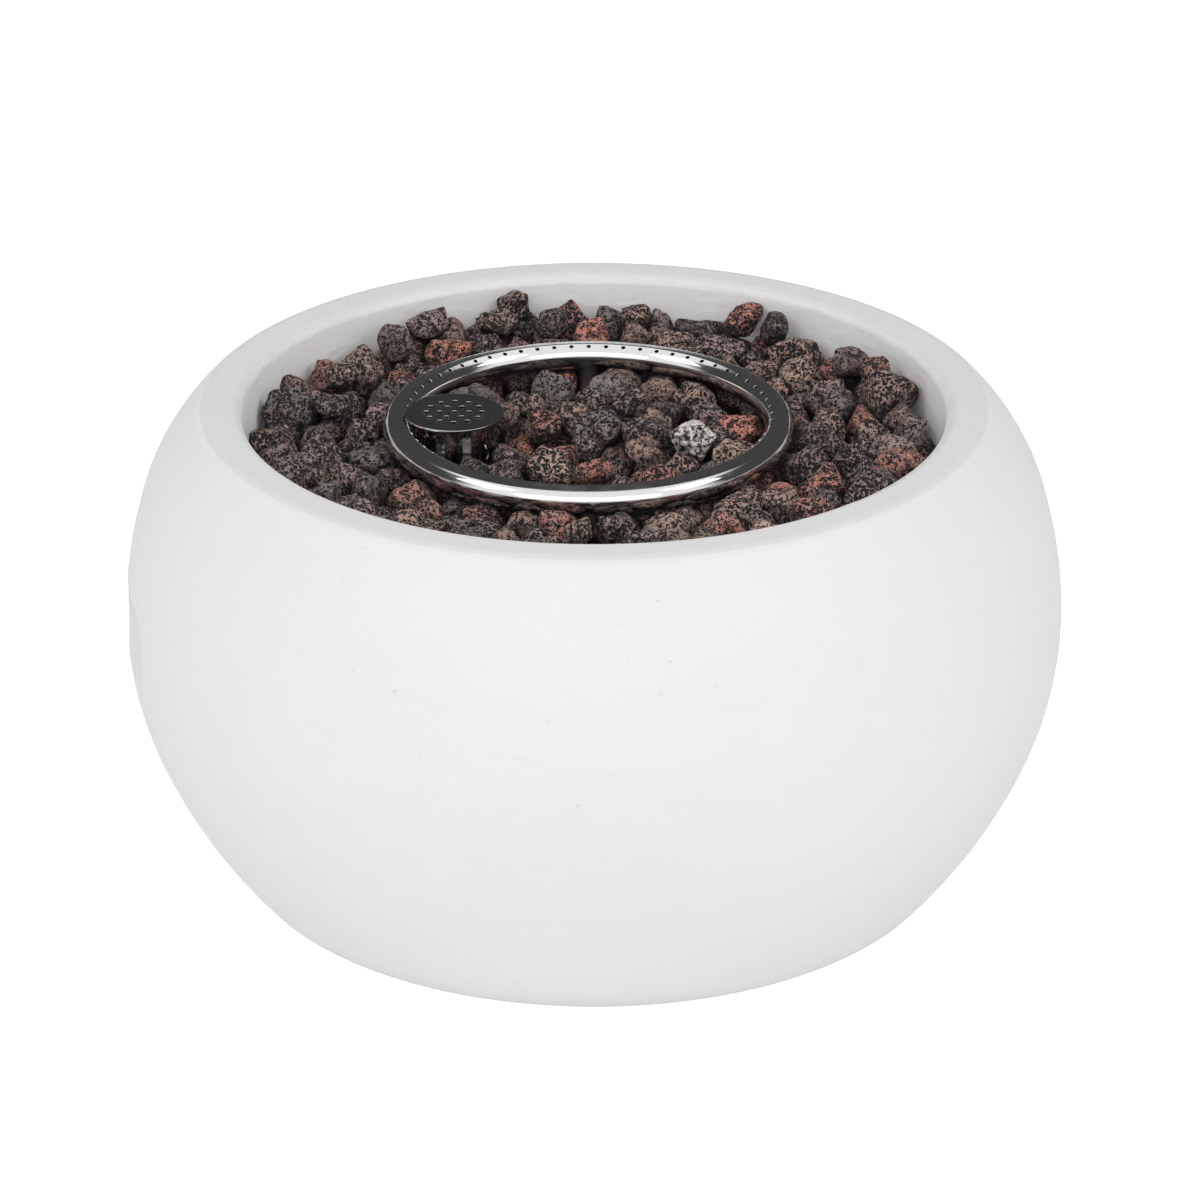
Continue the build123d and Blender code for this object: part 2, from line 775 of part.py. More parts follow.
# Thrust cup: ring that the stem's collar pushes in against the spring
cup_front = collar_front + stem_collar_thickness
with BuildPart(facing_back(knob_x, panel_face - cup_front, control_height)) as thrust_cup:
    Cylinder(valve_chamber_radius - fit_clearance, thrust_cup_length, align=back_align)
    Cylinder(
        stem_radius + fit_clearance, thrust_cup_length, align=back_align, mode=Mode.SUBTRACT
    )
pieces["thrust_cup"] = thrust_cup

# Valve spring: pushes the cup, the stem and the knob back out
valve_spring_length = valve_chamber_end - cup_front - thrust_cup_length
pieces["valve_spring"] = coil_spring(
    knob_x,
    panel_face - valve_chamber_end + spring_gap,
    control_height,
    stem_collar_radius,
    spring_wire,
    valve_spring_length - 2 * spring_gap,
    spring_turns,
)

# Control knob: hollow skirted knob with a finger bar, on the stem's flat
with BuildPart(facing_back(knob_x, panel_face + knob_back, control_height)) as control_knob:
    Cylinder(knob_radius, knob_skirt, align=front_align)
    chamfer(control_knob.edges().group_by(Axis.Y)[-1], knob_wall / 2)
    with BuildSketch(facing_back(knob_x, panel_face + knob_back, control_height)):
        SlotOverall(2 * knob_radius - 2 * knob_wall, knob_bar_width, rotation=90)
    extrude(amount=knob_height)
    chamfer(control_knob.faces().sort_by(Axis.Y)[-1].edges(), knob_wall / 2)
    with BuildSketch(facing_back(knob_x, panel_face + knob_back, control_height)):
        Circle(knob_radius - knob_wall)
        Circle(knob_boss_radius, mode=Mode.SUBTRACT)
    extrude(amount=knob_skirt - knob_wall, mode=Mode.SUBTRACT)
    with BuildSketch(facing_back(knob_x, panel_face + knob_back, control_height)):
        Circle(stem_radius + fit_clearance)
        with Locations((0, stem_radius - stem_flat + fit_clearance)):
            Rectangle(
                3 * stem_radius, stem_radius, align=(Align.CENTER, Align.MIN), mode=Mode.SUBTRACT
            )
    extrude(amount=knob_height - knob_cap_thickness, mode=Mode.SUBTRACT)
pieces["control_knob"] = control_knob

# Igniter housing: flanged barrel through the panel that holds the battery and guides the button
igniter_front = panel_thickness + igniter_flange_thickness
neck_back = igniter_front - button_neck
battery_front = neck_back - button_flange_thickness - button_spring_length
battery_back = battery_front - battery_length
with BuildPart(facing_back(igniter_x, panel_face, control_height)) as igniter_housing:
    with Locations((0, 0, igniter_front)):
        Cylinder(igniter_radius, igniter_front + igniter_length, align=back_align)
        Cylinder(igniter_flange_radius, igniter_flange_thickness, align=back_align)
        Cylinder(
            button_radius + fit_clearance, button_neck, align=back_align, mode=Mode.SUBTRACT
        )
    with Locations((0, 0, neck_back)):
        Cylinder(
            battery_radius + stop_gap,
            neck_back - battery_back,
            align=back_align,
            mode=Mode.SUBTRACT,
        )
    with Locations((0, 0, -igniter_length)):
        with GridLocations(0, igniter_radius, 1, 2):
            Box(button_radius, spring_wire, terminal_length, align=back_align)
pieces["igniter_housing"] = igniter_housing

# Igniter nut: round nut that clamps the housing to the panel
with BuildPart(facing_back(igniter_x, panel_face, control_height)) as igniter_nut:
    Cylinder(igniter_flange_radius, igniter_nut_height, align=back_align)
    Cylinder(
        igniter_radius + fit_clearance, igniter_nut_height, align=back_align, mode=Mode.SUBTRACT
    )
pieces["igniter_nut"] = igniter_nut

# Igniter button: plunger kept in by a flange behind the housing's neck
with BuildPart(facing_back(igniter_x, panel_face, control_height)) as igniter_button:
    with Locations((0, 0, igniter_front + button_proud)):
        Cylinder(button_radius, button_proud + button_neck + stop_gap, align=back_align)
    chamfer(igniter_button.edges().group_by(Axis.Y)[-1], 1.0)
    with Locations((0, 0, neck_back - stop_gap)):
        Cylinder(button_radius + button_flange, button_flange_thickness, align=back_align)
pieces["igniter_button"] = igniter_button

# Button spring: between the button and the battery
pieces["button_spring"] = coil_spring(
    igniter_x,
    panel_face + battery_front + spring_gap,
    control_height,
    button_radius - 2 * spring_wire,
    spring_wire,
    button_spring_length - stop_gap - 2 * spring_gap,
    spring_turns / 2,
)

# Battery: one dry cell with its contact nub towards the button
with BuildPart(facing_back(igniter_x, panel_face + battery_front, control_height)) as battery:
    with Locations((0, 0, -spring_wire)):
        Cylinder(battery_radius, battery_length - spring_wire, align=back_align)
    Cylinder(battery_radius / 3, battery_length / 2, align=back_align)
pieces["battery"] = battery

# Gas inlet: brass bulkhead fitting with a male flare end for the supply hose
with BuildPart(facing_back(0, inlet_face, inlet_height)) as gas_inlet_fitting:
    with BuildSketch(facing_back(0, inlet_face, inlet_height)):
        RegularPolygon(inlet_hex / 2, 6, major_radius=False)
    extrude(amount=inlet_hex_height)
    Cylinder(inlet_thread_radius, inlet_hex_height + inlet_thread_length, align=front_align)
    with Locations((0, 0, inlet_hex_height + inlet_thread_length)):
        Cone(inlet_thread_radius, inlet_thread_radius - inlet_nose, inlet_nose, align=front_align)
    Cylinder(inlet_thread_radius, inlet_backing + inlet_tail, align=back_align)
    Cylinder(
        inlet_bore, 2 * (inlet_backing + inlet_tail + inlet_thread_length), mode=Mode.SUBTRACT
    )
pieces["gas_inlet_fitting"] = gas_inlet_fitting

# Inlet nut: locks the bulkhead fitting inside the bowl
pieces["inlet_nut"] = hex_nut(
    facing_back(0, inlet_face - inlet_backing - inlet_nut_height, inlet_height),
    inlet_hex,
    inlet_nut_height,
    inlet_thread_radius + fit_clearance,
)

# Pipes: from the inlet up to the valve, and from the valve to the jet under the mixer
inlet_end = inlet_face - inlet_backing - inlet_tail
valve_inlet_end = panel_face - valve_length - port_boss_length / 2
valve_outlet_y = panel_face - valve_outlet_back
valve_outlet_end = control_height - valve_radius - port_boss_length
loop_y = min(inlet_end, valve_inlet_end) - pipe_reach
pieces["inlet_pipe"] = pipe_along(
    (
        (0, inlet_end, inlet_height),
        (0, loop_y, inlet_height),
        (knob_x, loop_y, control_height),
        (knob_x, valve_inlet_end, control_height),
    ),
    pipe_bend,
    pipe_radius,
)
pieces["supply_pipe"] = pipe_along(
    (
        (knob_x, valve_outlet_y, valve_outlet_end),
        (knob_x, valve_outlet_y, supply_height),
        (burner_x, 0, supply_height),
        (burner_x, 0, jet_foot),
    ),
    pipe_bend,
    pipe_radius,
)

# Pipe nuts: one at each end of both pipes
pipe_nut_planes = (
    Plane((0, inlet_end, inlet_height), z_dir=(0, -1, 0)),
    Plane((knob_x, valve_inlet_end, control_height), z_dir=(0, -1, 0)),
    Plane((knob_x, valve_outlet_y, valve_outlet_end), z_dir=(0, 0, -1)),
    Plane((burner_x, 0, jet_foot), z_dir=(0, 0, -1)),
)
with BuildPart() as pipe_nuts:
    with BuildSketch(*pipe_nut_planes):
        RegularPolygon(pipe_nut_flats / 2, 6, major_radius=False)
        Circle(pipe_radius + fit_clearance, mode=Mode.SUBTRACT)
    extrude(amount=pipe_nut_height)
pieces["pipe_nuts"] = pipe_nuts

# Leads: the probe's capillary to the safety magnet, and the spark wire to the igniter
probe_foot = pan_top - probe_below
probe_lead_level = probe_foot - lead_drop
magnet_end = magnet_foot + magnet_length + magnet_boss_radius / 2
pieces["probe_lead"] = pipe_along(
    (
        (probe_x, sensor_line, probe_foot),
        (probe_x, sensor_line, probe_lead_level),
        (knob_x, magnet_y, probe_lead_level),
        (knob_x, magnet_y, magnet_end),
    ),
    min(lead_bend, 0.8 * (probe_lead_level - magnet_end)),
    lead_radius,
)
spark_lead_level = spark_foot - lead_drop
terminal_end = panel_face - igniter_length - terminal_length
pieces["spark_lead"] = pipe_along(
    (
        (electrode_x, sensor_line, spark_foot),
        (electrode_x, sensor_line, spark_lead_level),
        (igniter_x, terminal_end - 2 * pipe_reach, control_height - igniter_radius / 2),
        (igniter_x, terminal_end, control_height - igniter_radius / 2),
    ),
    lead_bend,
    spark_lead_radius,
)

# Lava rock: irregular lumps that cover the pan floor around the burner and the guard, with smaller ones on top.
# Each lump starts as a ball. The burner, its hub and the guard count as rows of balls that stay put.
dice = np.random.default_rng(rock_seed)
rock_reach = pan_radius - rock_gap
ring_turns = np.linspace(0, 2 * pi, 120, endpoint=False)
ring_row = [(burner_x + ring_radius * cos(a), ring_radius * sin(a), ring_height) for a in ring_turns]
bar_row = [(burner_x, y, feed_level) for y in np.linspace(-ring_radius, ring_radius, 60)]
leg_row = [
    (burner_x, side * ring_radius, z) for side in (-1, 1) for z in np.linspace(feed_level, ring_height, 8)
]
hub_row = [(burner_x, 0, pan_top), (burner_x, 0, feed_level)]
guard_row = [(guard_x, guard_y, z) for z in np.linspace(pan_top, cap_underside, 12)]
fixed_rows = (
    (ring_row, ring_tube_radius),
    (bar_row + leg_row, feed_tube_radius),
    (hub_row, hub_radius),
    (guard_row, guard_flange),
)
fixed_centres = np.array([point for row, radius in fixed_rows for point in row])
fixed_sizes = np.array([radius + rock_gap for row, radius in fixed_rows for point in row])
fixed_count = len(fixed_sizes)


def settled_floor():
    """Balls that cover the pan floor: scattered at random, then pushed apart sideways until they fit."""
    sizes = rock_least + (rock_most - rock_least) * dice.beta(1.6, 2.4, 4 * int((rock_reach / rock_most) ** 2))
    sizes = sizes[np.cumsum(sizes**2) < rock_cover * rock_reach**2]
    angle = dice.uniform(0, 2 * pi, len(sizes))
    spread = rock_reach * np.sqrt(dice.uniform(0, 1, len(sizes)))
    spots = np.stack((spread * np.cos(angle), spread * np.sin(angle), pan_top + sizes), axis=1)
    for turn in range(rock_settling):
        for others, their_sizes, part in ((spots, sizes, 0.5), (fixed_centres, fixed_sizes, 0.25)):
            gap = spots[:, None, :] - others[None, :, :]
            apart = np.linalg.norm(gap, axis=2) + 1e-9
            overlap = np.maximum(sizes[:, None] + their_sizes[None, :] - apart, 0)
            if others is spots:
                np.fill_diagonal(overlap, 0)
            sideways = gap[:, :, :2] / (np.linalg.norm(gap[:, :, :2], axis=2, keepdims=True) + 1e-9)
            spots[:, :2] += part * np.sum(overlap[:, :, None] * sideways, axis=1)
        from_axis = np.linalg.norm(spots[:, :2], axis=1)
        spots[:, :2] *= np.minimum(1, (rock_reach - sizes) / from_axis)[:, None]
    return spots, sizes


def fill_level(x, y):
    """Height of the top of the bed: lowest along the ring, higher in the middle and banked up to the wall."""
    from_burner = sqrt((x - burner_x) ** 2 + y**2)
    if from_burner < ring_radius:
        rise = rock_top_middle * (1 - (from_burner / ring_radius) ** 2)
    else:
        rise = rock_top_bank * (sqrt(x**2 + y**2) - ring_radius) / (rock_reach - ring_radius)
    return bowl_height - rock_top_drop + rise


def drop_level(x, y, size):
    """Height at which a ball dropped at x, y comes to rest on the pan or on the balls already there."""
    span = (ball_centres[:, 0] - x) ** 2 + (ball_centres[:, 1] - y) ** 2
    reach = np.maximum((ball_sizes + size) ** 2 - span, 0)
    tops = np.where(reach > 0, ball_centres[:, 2] + np.sqrt(reach), 0)
    return max(pan_top + size, float(np.max(tops)))


floor_centres, floor_sizes = settled_floor()
ball_centres = np.vstack((fixed_centres, floor_centres))
ball_sizes = np.append(fixed_sizes, floor_sizes)
for size in np.linspace(topper_most, topper_least, rock_toppers):
    angle = dice.uniform(0, 2 * pi)
    spread = (rock_reach - size) * sqrt(dice.uniform())
    x = spread * cos(angle)
    y = spread * sin(angle)
    z = drop_level(x, y, size)
    if z + topper_sink * size < fill_level(x, y):
        ball_centres = np.vstack((ball_centres, (x, y, z)))
        ball_sizes = np.append(ball_sizes, size)


def rock_corner_points(number):
    """Corners of one lump, which swells past its ball until it meets the pan, its neighbours or the burner."""
    centre = ball_centres[number]
    size = ball_sizes[number]
    index = np.arange(rock_corners)
    height = np.clip(1 - 2 * (index + 0.5) / rock_corners + dice.normal(0, 0.05, rock_corners), -1, 1)
    around = dice.uniform(0, 2 * pi) + index * pi * (3 - sqrt(5)) + dice.normal(0, 0.15, rock_corners)
    flat = np.sqrt(1 - height**2)
    aims = np.stack((flat * np.cos(around), flat * np.sin(around), height), axis=1)

    gap = ball_centres - centre
    apart = np.linalg.norm(gap, axis=1)
    apart[number] = np.inf
    share = apart * size / (size + ball_sizes) - rock_gap / 2
    share[:fixed_count] = apart[:fixed_count] - ball_sizes[:fixed_count]
    near = np.flatnonzero(share < rock_swell * size)
    normals = gap[near] / apart[near, None]
    out = np.append(centre[:2], 0) / max(np.linalg.norm(centre[:2]), 1)
    normals = np.vstack((normals, (0, 0, -1), (0, 0, 1), out))
    floor = centre[2] - pan_top - rock_gap
    roof = fill_level(centre[0], centre[1]) - centre[2]
    wall = rock_reach - rock_gap - np.linalg.norm(centre[:2])
    limits = np.concatenate((share[near], (floor, roof, wall)))

    touching = normals[:-2][limits[:-2] < 1.05 * size]
    aims = np.vstack((aims, touching))
    facing = aims @ normals.T
    reach = np.where(facing > 1e-6, limits / np.maximum(facing, 1e-6), np.inf).min(axis=1)
    reach = np.minimum(reach, rock_swell * size)
    reach[:rock_corners] *= dice.uniform(rock_leanest, 1, rock_corners)
    return [tuple(float(value) for value in point) for point in centre + aims * reach[:, None]]


def rock_bed(centre):
    """Name of the bed that a rock belongs to: inside the ring, or one of four beds around it."""
    if sqrt((centre[0] - burner_x) ** 2 + centre[1] ** 2) < ring_radius:
        return "inner"
    side = "left" if centre[0] < 0 else "right"
    return ("back_" if centre[1] > 0 else "front_") + side


rock_beds = {}
for number in range(fixed_count, len(ball_sizes)):
    lump = ConvexPolyhedron(rock_corner_points(number), mode=Mode.PRIVATE)
    rock_beds.setdefault("lava_rock_" + rock_bed(ball_centres[number]), []).append(lump)
for bed_name, lumps in rock_beds.items():
    with BuildPart() as lava_rock:
        add(lumps)
    pieces[bed_name] = lava_rock

os.makedirs("parts", exist_ok=True)
for piece_name, piece in pieces.items():
    piece.part.label = piece_name
    export_step(piece.part, f"parts/{piece_name}.step")
print(len(pieces), "pieces,", len(ball_sizes) - fixed_count, "rocks")
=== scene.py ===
"""Propane fire pit on a white studio floor: a pale cast bowl of lava rock around a polished ring burner."""

import math

import bmesh
import bpy
import numpy as np
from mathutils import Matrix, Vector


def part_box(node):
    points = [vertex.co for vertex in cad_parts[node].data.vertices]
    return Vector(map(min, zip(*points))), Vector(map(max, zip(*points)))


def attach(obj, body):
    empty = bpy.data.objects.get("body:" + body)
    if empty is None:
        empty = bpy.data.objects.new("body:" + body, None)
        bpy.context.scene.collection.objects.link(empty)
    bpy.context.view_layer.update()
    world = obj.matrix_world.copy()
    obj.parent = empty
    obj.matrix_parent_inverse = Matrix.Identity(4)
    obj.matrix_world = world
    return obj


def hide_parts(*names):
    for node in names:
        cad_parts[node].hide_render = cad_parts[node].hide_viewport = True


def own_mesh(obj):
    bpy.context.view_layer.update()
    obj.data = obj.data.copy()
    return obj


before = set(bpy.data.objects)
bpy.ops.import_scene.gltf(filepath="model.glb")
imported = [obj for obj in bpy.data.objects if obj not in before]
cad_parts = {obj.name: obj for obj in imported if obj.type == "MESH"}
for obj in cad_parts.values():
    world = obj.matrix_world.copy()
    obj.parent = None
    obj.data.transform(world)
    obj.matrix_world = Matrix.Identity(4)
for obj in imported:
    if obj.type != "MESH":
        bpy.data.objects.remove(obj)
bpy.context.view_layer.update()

# Bowl: pale cement cast in a mould, with a folded rim and a pocket for the hand on each side.
# It is rubbed smooth by hand, which leaves faint level strokes, soft mottling and a few pinholes, whose
# darker tone is painted shade.
# The rim's flat is painted a little darker than the outside, as painted shade, and the wall inside the mouth
# is painted a little lighter, as painted light.
mm = 0.001
cement = (0.845, 0.845, 0.835)
cement_stain = tuple(0.985 * level for level in cement)
# Painted shade: the darker tone inside the pinholes.
cement_pinhole_painted_shade = (0.72, 0.72, 0.712)
# Painted light on the wall inside the mouth, and painted shade on the rim's flat.
cement_inside_painted_light = (0.95, 0.948, 0.94)
cement_rim_painted_shade = (0.765, 0.765, 0.757)
cement_roughness = 0.88
cement_edge = 1.8 * mm
mouth_radius = (263 * mm, 260 * mm)
rim_radius = (291 * mm, 289 * mm)
rim_height = (349 * mm, 352 * mm)


def plain_finish(name, colour, roughness, metallic=0.0):
    """A finish of one colour and one roughness, metal or not."""
    material = bpy.data.materials.new(name)
    material.use_nodes = True
    shader = material.node_tree.nodes["Principled BSDF"]
    shader.inputs["Base Color"].default_value = (*colour, 1)
    shader.inputs["Roughness"].default_value = roughness
    shader.inputs["Metallic"].default_value = metallic
    return material


def feed(material, result, socket):
    """Lets a result set one socket of the finish's shader."""
    shader = material.node_tree.nodes["Principled BSDF"]
    material.node_tree.links.new(result, shader.inputs[socket])


def pattern(material, kind, scale, stretch=(1, 1, 1), **sockets):
    """Adds a noise or cell pattern on the piece's own coordinates, stretched along the axes.
    Returns the pattern's node."""
    nodes = material.node_tree.nodes
    links = material.node_tree.links
    place = nodes.new("ShaderNodeTexCoord")
    mapping = nodes.new("ShaderNodeMapping")
    mapping.inputs["Scale"].default_value = stretch
    texture = nodes.new(kind)
    texture.inputs["Scale"].default_value = scale
    for socket, value in sockets.items():
        texture.inputs[socket].default_value = value
    links.new(place.outputs["Object"], mapping.inputs["Vector"])
    links.new(mapping.outputs["Vector"], texture.inputs["Vector"])
    return texture


def noise(material, scale, stretch=(1, 1, 1), **sockets):
    """Adds a cloudy pattern and returns its value, which is mostly between 0.3 and 0.7."""
    return pattern(material, "ShaderNodeTexNoise", scale, stretch, **sockets).outputs["Fac"]


def between(material, source, low, high, first=0.0, last=1.0):
    """Maps a value from low..high to first..last, held at both ends, and returns the result."""
    remap = material.node_tree.nodes.new("ShaderNodeMapRange")
    remap.inputs["From Min"].default_value = low
    remap.inputs["From Max"].default_value = high
    remap.inputs["To Min"].default_value = first
    remap.inputs["To Max"].default_value = last
    material.node_tree.links.new(source, remap.inputs["Value"])
    return remap.outputs["Result"]


def combine(material, operation, first, second):
    """One arithmetic step on two values, each a socket or a number, and returns the result."""
    step = material.node_tree.nodes.new("ShaderNodeMath")
    step.operation = operation
    for socket, value in zip(step.inputs, (first, second)):
        if isinstance(value, float):
            socket.default_value = value
        else:
            material.node_tree.links.new(value, socket)
    return step.outputs[0]


def own_axes(material):
    """The X, Y and Z of a point in the piece's own coordinates, as three values."""
    place = material.node_tree.nodes.new("ShaderNodeTexCoord")
    axes = material.node_tree.nodes.new("ShaderNodeSeparateXYZ")
    material.node_tree.links.new(place.outputs["Object"], axes.inputs["Vector"])
    return axes.outputs["X"], axes.outputs["Y"], axes.outputs["Z"]


def blend_colours(material, share, first, second):
    """Mixes two colours, each a tuple or a socket, by a share from 0 to 1, and returns the result."""
    mix = material.node_tree.nodes.new("ShaderNodeMix")
    mix.data_type = "RGBA"
    material.node_tree.links.new(share, mix.inputs["Factor"])
    colour_sockets = [socket for socket in mix.inputs if socket.type == "RGBA"]
    for socket, colour in zip(colour_sockets, (first, second)):
        if isinstance(colour, tuple):
            socket.default_value = (*colour, 1)
        else:
            material.node_tree.links.new(colour, socket)
    return [socket for socket in mix.outputs if socket.type == "RGBA"][0]


def raise_surface(material, height, distance, strength=1.0):
    """Bumps the finish by a pattern, on top of any bump that it already has."""
    links = material.node_tree.links
    normal = material.node_tree.nodes["Principled BSDF"].inputs["Normal"]
    bump = material.node_tree.nodes.new("ShaderNodeBump")
    bump.inputs["Strength"].default_value = strength
    bump.inputs["Distance"].default_value = distance
    links.new(height, bump.inputs["Height"])
    if normal.links:
        links.new(normal.links[0].from_socket, bump.inputs["Normal"])
    links.new(bump.outputs["Normal"], normal)


def soften_edges(material, radius):
    """Rounds the look of sharp edges: the finish's bumps start from a normal averaged over a small radius."""
    bevel = material.node_tree.nodes.new("ShaderNodeBevel")
    bevel.inputs["Radius"].default_value = radius
    bevel.samples = 8
    feed(material, bevel.outputs["Normal"], "Normal")


def dress(material, *nodes):
    """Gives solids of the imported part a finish."""
    for node in nodes:
        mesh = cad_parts[node].data
        mesh.materials.clear()
        mesh.materials.append(material)


cement_finish = plain_finish("cast_cement", cement, cement_roughness)
mottle = noise(cement_finish, scale=9, Detail=4, Roughness=0.6)
strokes = noise(cement_finish, scale=24, stretch=(1, 1, 2.4), Detail=5, Roughness=0.6, Distortion=0.6)
grain = noise(cement_finish, scale=420, Detail=2)
pinholes = pattern(cement_finish, "ShaderNodeTexVoronoi", scale=62, Randomness=1)
beside_pinhole = between(cement_finish, pinholes.outputs["Distance"], low=0.05, high=0.085)
without_pinholes = between(cement_finish, mottle, low=0.6, high=0.5)
unpitted = combine(cement_finish, "MAXIMUM", beside_pinhole, without_pinholes)
stain = between(cement_finish, mottle, low=0.35, high=0.7)
cement_x, cement_y, cement_z = own_axes(cement_finish)
cement_x_squared = combine(cement_finish, "MULTIPLY", cement_x, cement_x)
cement_y_squared = combine(cement_finish, "MULTIPLY", cement_y, cement_y)
radius_squared = combine(cement_finish, "ADD", cement_x_squared, cement_y_squared)
cement_radius = combine(cement_finish, "POWER", radius_squared, 0.5)
mouth_painted_light_share = between(cement_finish, cement_radius, *mouth_radius)
rim_painted_shade_share = combine(
    cement_finish,
    "MULTIPLY",
    between(cement_finish, cement_radius, *rim_radius),
    between(cement_finish, cement_z, *rim_height),
)
cement_tone = blend_colours(cement_finish, stain, cement, cement_stain)
# Painted shade on the rim's flat, then painted light on the wall inside the mouth.
cement_tone = blend_colours(cement_finish, rim_painted_shade_share, cement_tone, cement_rim_painted_shade)
cement_tone = blend_colours(cement_finish, mouth_painted_light_share, cement_tone, cement_inside_painted_light)
# Painted shade in the pinholes.
cement_tone = blend_colours(cement_finish, unpitted, cement_pinhole_painted_shade, cement_tone)
feed(cement_finish, cement_tone, "Base Color")
soften_edges(cement_finish, cement_edge)
raise_surface(cement_finish, strokes, distance=2.4 * mm, strength=0.6)
raise_surface(cement_finish, grain, distance=0.1 * mm, strength=0.4)
raise_surface(cement_finish, unpitted, distance=0.4 * mm, strength=0.5)
dress(cement_finish, "bowl_body", "pan_ledge")

# Fire pan: a flat round plate of mild steel that lies on the ledge inside the bowl and carries the rock.
# Heat has darkened and dulled it in blotches.
pan_finish = plain_finish("heat_dulled_steel", colour=(0.045, 0.042, 0.04), roughness=0.7, metallic=0.4)


def vary_roughness(material, scale, low, high, stretch=(1, 1, 1)):
    """Makes a finish duller in patches, between two roughnesses."""
    patches = noise(material, scale, stretch, Detail=4, Roughness=0.6)
    level = between(material, patches, low=0.35, high=0.65, first=low, last=high)
    feed(material, level, "Roughness")


vary_roughness(pan_finish, scale=40, low=0.62, high=0.85)
dress(pan_finish, "fire_pan")

# Ring burner: a polished stainless channel rolled into a ring, closed by a flat land that leans out a little.
# The flame ports are drilled beside the land, facing the middle, with a small countersink.
# The ring stands on a feed bar of dull steel below it.
tube_radius = 11 * mm
tube_wall = 1.2 * mm
land_width = 10 * mm
land_lean = math.radians(-9)
land_height = math.sqrt(tube_radius**2 - (land_width / 2) ** 2)
land_edge = math.asin(land_width / 2 / tube_radius)
crease_power = 90
crease_band = math.radians(2)
ring_low, ring_high = (np.array(corner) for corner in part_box("burner_ring"))
ring_radius = (ring_high[0] - ring_low[0]) / 2 - tube_radius
ring_centre = (ring_low + ring_high) / 2
ring_centre[2] = ring_low[2] + tube_radius
port_count = 64
port_radius = 1.6 * mm
port_sink = 0.2 * mm
port_lean = math.radians(32)
port_band = 2.2 * mm
port_span = port_band / tube_radius
port_sides = 32
ray_shares = (1, 0.55, 0.25, 0.06, 0)
weld_distance = 0.002 * mm


def piece(name, vertices, faces, material, body, slot):
    """Makes one closed mesh from arrays of points and faces, joins its seams and hangs it on a body."""
    mesh = bpy.data.meshes.new(name)
    mesh.from_pydata(vertices.tolist(), [], faces.tolist())
    mesh.materials.append(material)
    work = bmesh.new()
    work.from_mesh(mesh)
    bmesh.ops.remove_doubles(work, verts=work.verts, dist=weld_distance)
    bmesh.ops.recalc_face_normals(work, faces=work.faces)
    work.to_mesh(mesh)
    work.free()
    mesh.polygons.foreach_set("use_smooth", [True] * len(mesh.polygons))
    thing = bpy.data.objects.new(name, mesh)
    bpy.context.scene.collection.objects.link(thing)
    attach(thing, body)
    return thing


def grid_faces(rows, columns):
    """Quads of a grid of points laid out row by row."""
    corner = np.arange((rows - 1) * columns).reshape(rows - 1, columns)[:, :-1].ravel()
    return np.stack((corner, corner + 1, corner + columns + 1, corner + columns), axis=1)


def join_surfaces(skins, quads):
    """Stacks the points of several surfaces, and their faces, each counted on from the surface before."""
    starts = np.cumsum([0] + [len(skin) for skin in skins[:-1]])
    return np.vstack(skins), np.vstack([faces + start for faces, start in zip(quads, starts)])


def ring_surface(along, around, inset):
    """Point of the channel's skin, an inset below it: a circle cut by the land, carried round the ring.
    along is the angle round the ring, and around is the angle from the crest towards the middle.
    The circle and the land meet in a narrow rounded crease, a power mean of their two reaches."""
    circle = tube_radius - inset
    facing = np.maximum(np.cos(around - land_lean), 0) * circle / (land_height - inset)
    radius = circle * (1 + facing**crease_power) ** (-1 / crease_power)
    reach = ring_radius - radius * np.sin(around)
    return np.stack(
        (
            ring_centre[0] + reach * np.cos(along),
            ring_centre[1] + reach * np.sin(along),
            ring_centre[2] + radius * np.cos(around),
        ),
        axis=-1,
    )


def ring_sector():
    """One port and the stretch of tube around it, as grids of along, around and inset.
    Rays run in from a rectangle to the port's edge on the outside, down the port's wall, and out again to the
    rectangle on the inside."""
    half_turn = math.pi / port_count
    half_length = half_turn * (ring_radius - tube_radius * math.sin(port_lean))
    side = np.linspace(-1, 1, port_sides // 4 + 1)
    end = np.ones_like(side)
    box_x = np.concatenate((end, -side, -end, side)) * half_length
    box_y = np.concatenate((side, end, -side, -end)) * port_band
    turn = np.arctan2(box_y, box_x)
    outside = [(share, port_radius + port_sink, 0.0) for share in ray_shares]
    # The wall starts with one row that rounds the countersink.
    wall = [
        (0, port_radius + 0.3 * port_sink, 0.05 * mm),
        (0, port_radius, port_sink),
        (0, port_radius, tube_wall),
    ]
    inside = [(share, port_radius, tube_wall) for share in ray_shares[-2::-1]]
    rows = []
    for share, radius, inset in outside + wall + inside:
        rim_x = radius * np.cos(turn)
        rim_y = radius * np.sin(turn)
        rows.append((rim_x + share * (box_x - rim_x), rim_y + share * (box_y - rim_y), inset + 0 * turn))
    patch = np.array(rows)
    return patch[:, 0] / half_length * half_turn, port_lean + patch[:, 1] / tube_radius, patch[:, 2]


sector_along, sector_around, sector_inset = ring_sector()
sector_turns = 2 * math.pi / port_count * np.arange(port_count)
ring_skins = [ring_surface(sector_along + turn, sector_around, sector_inset) for turn in sector_turns]

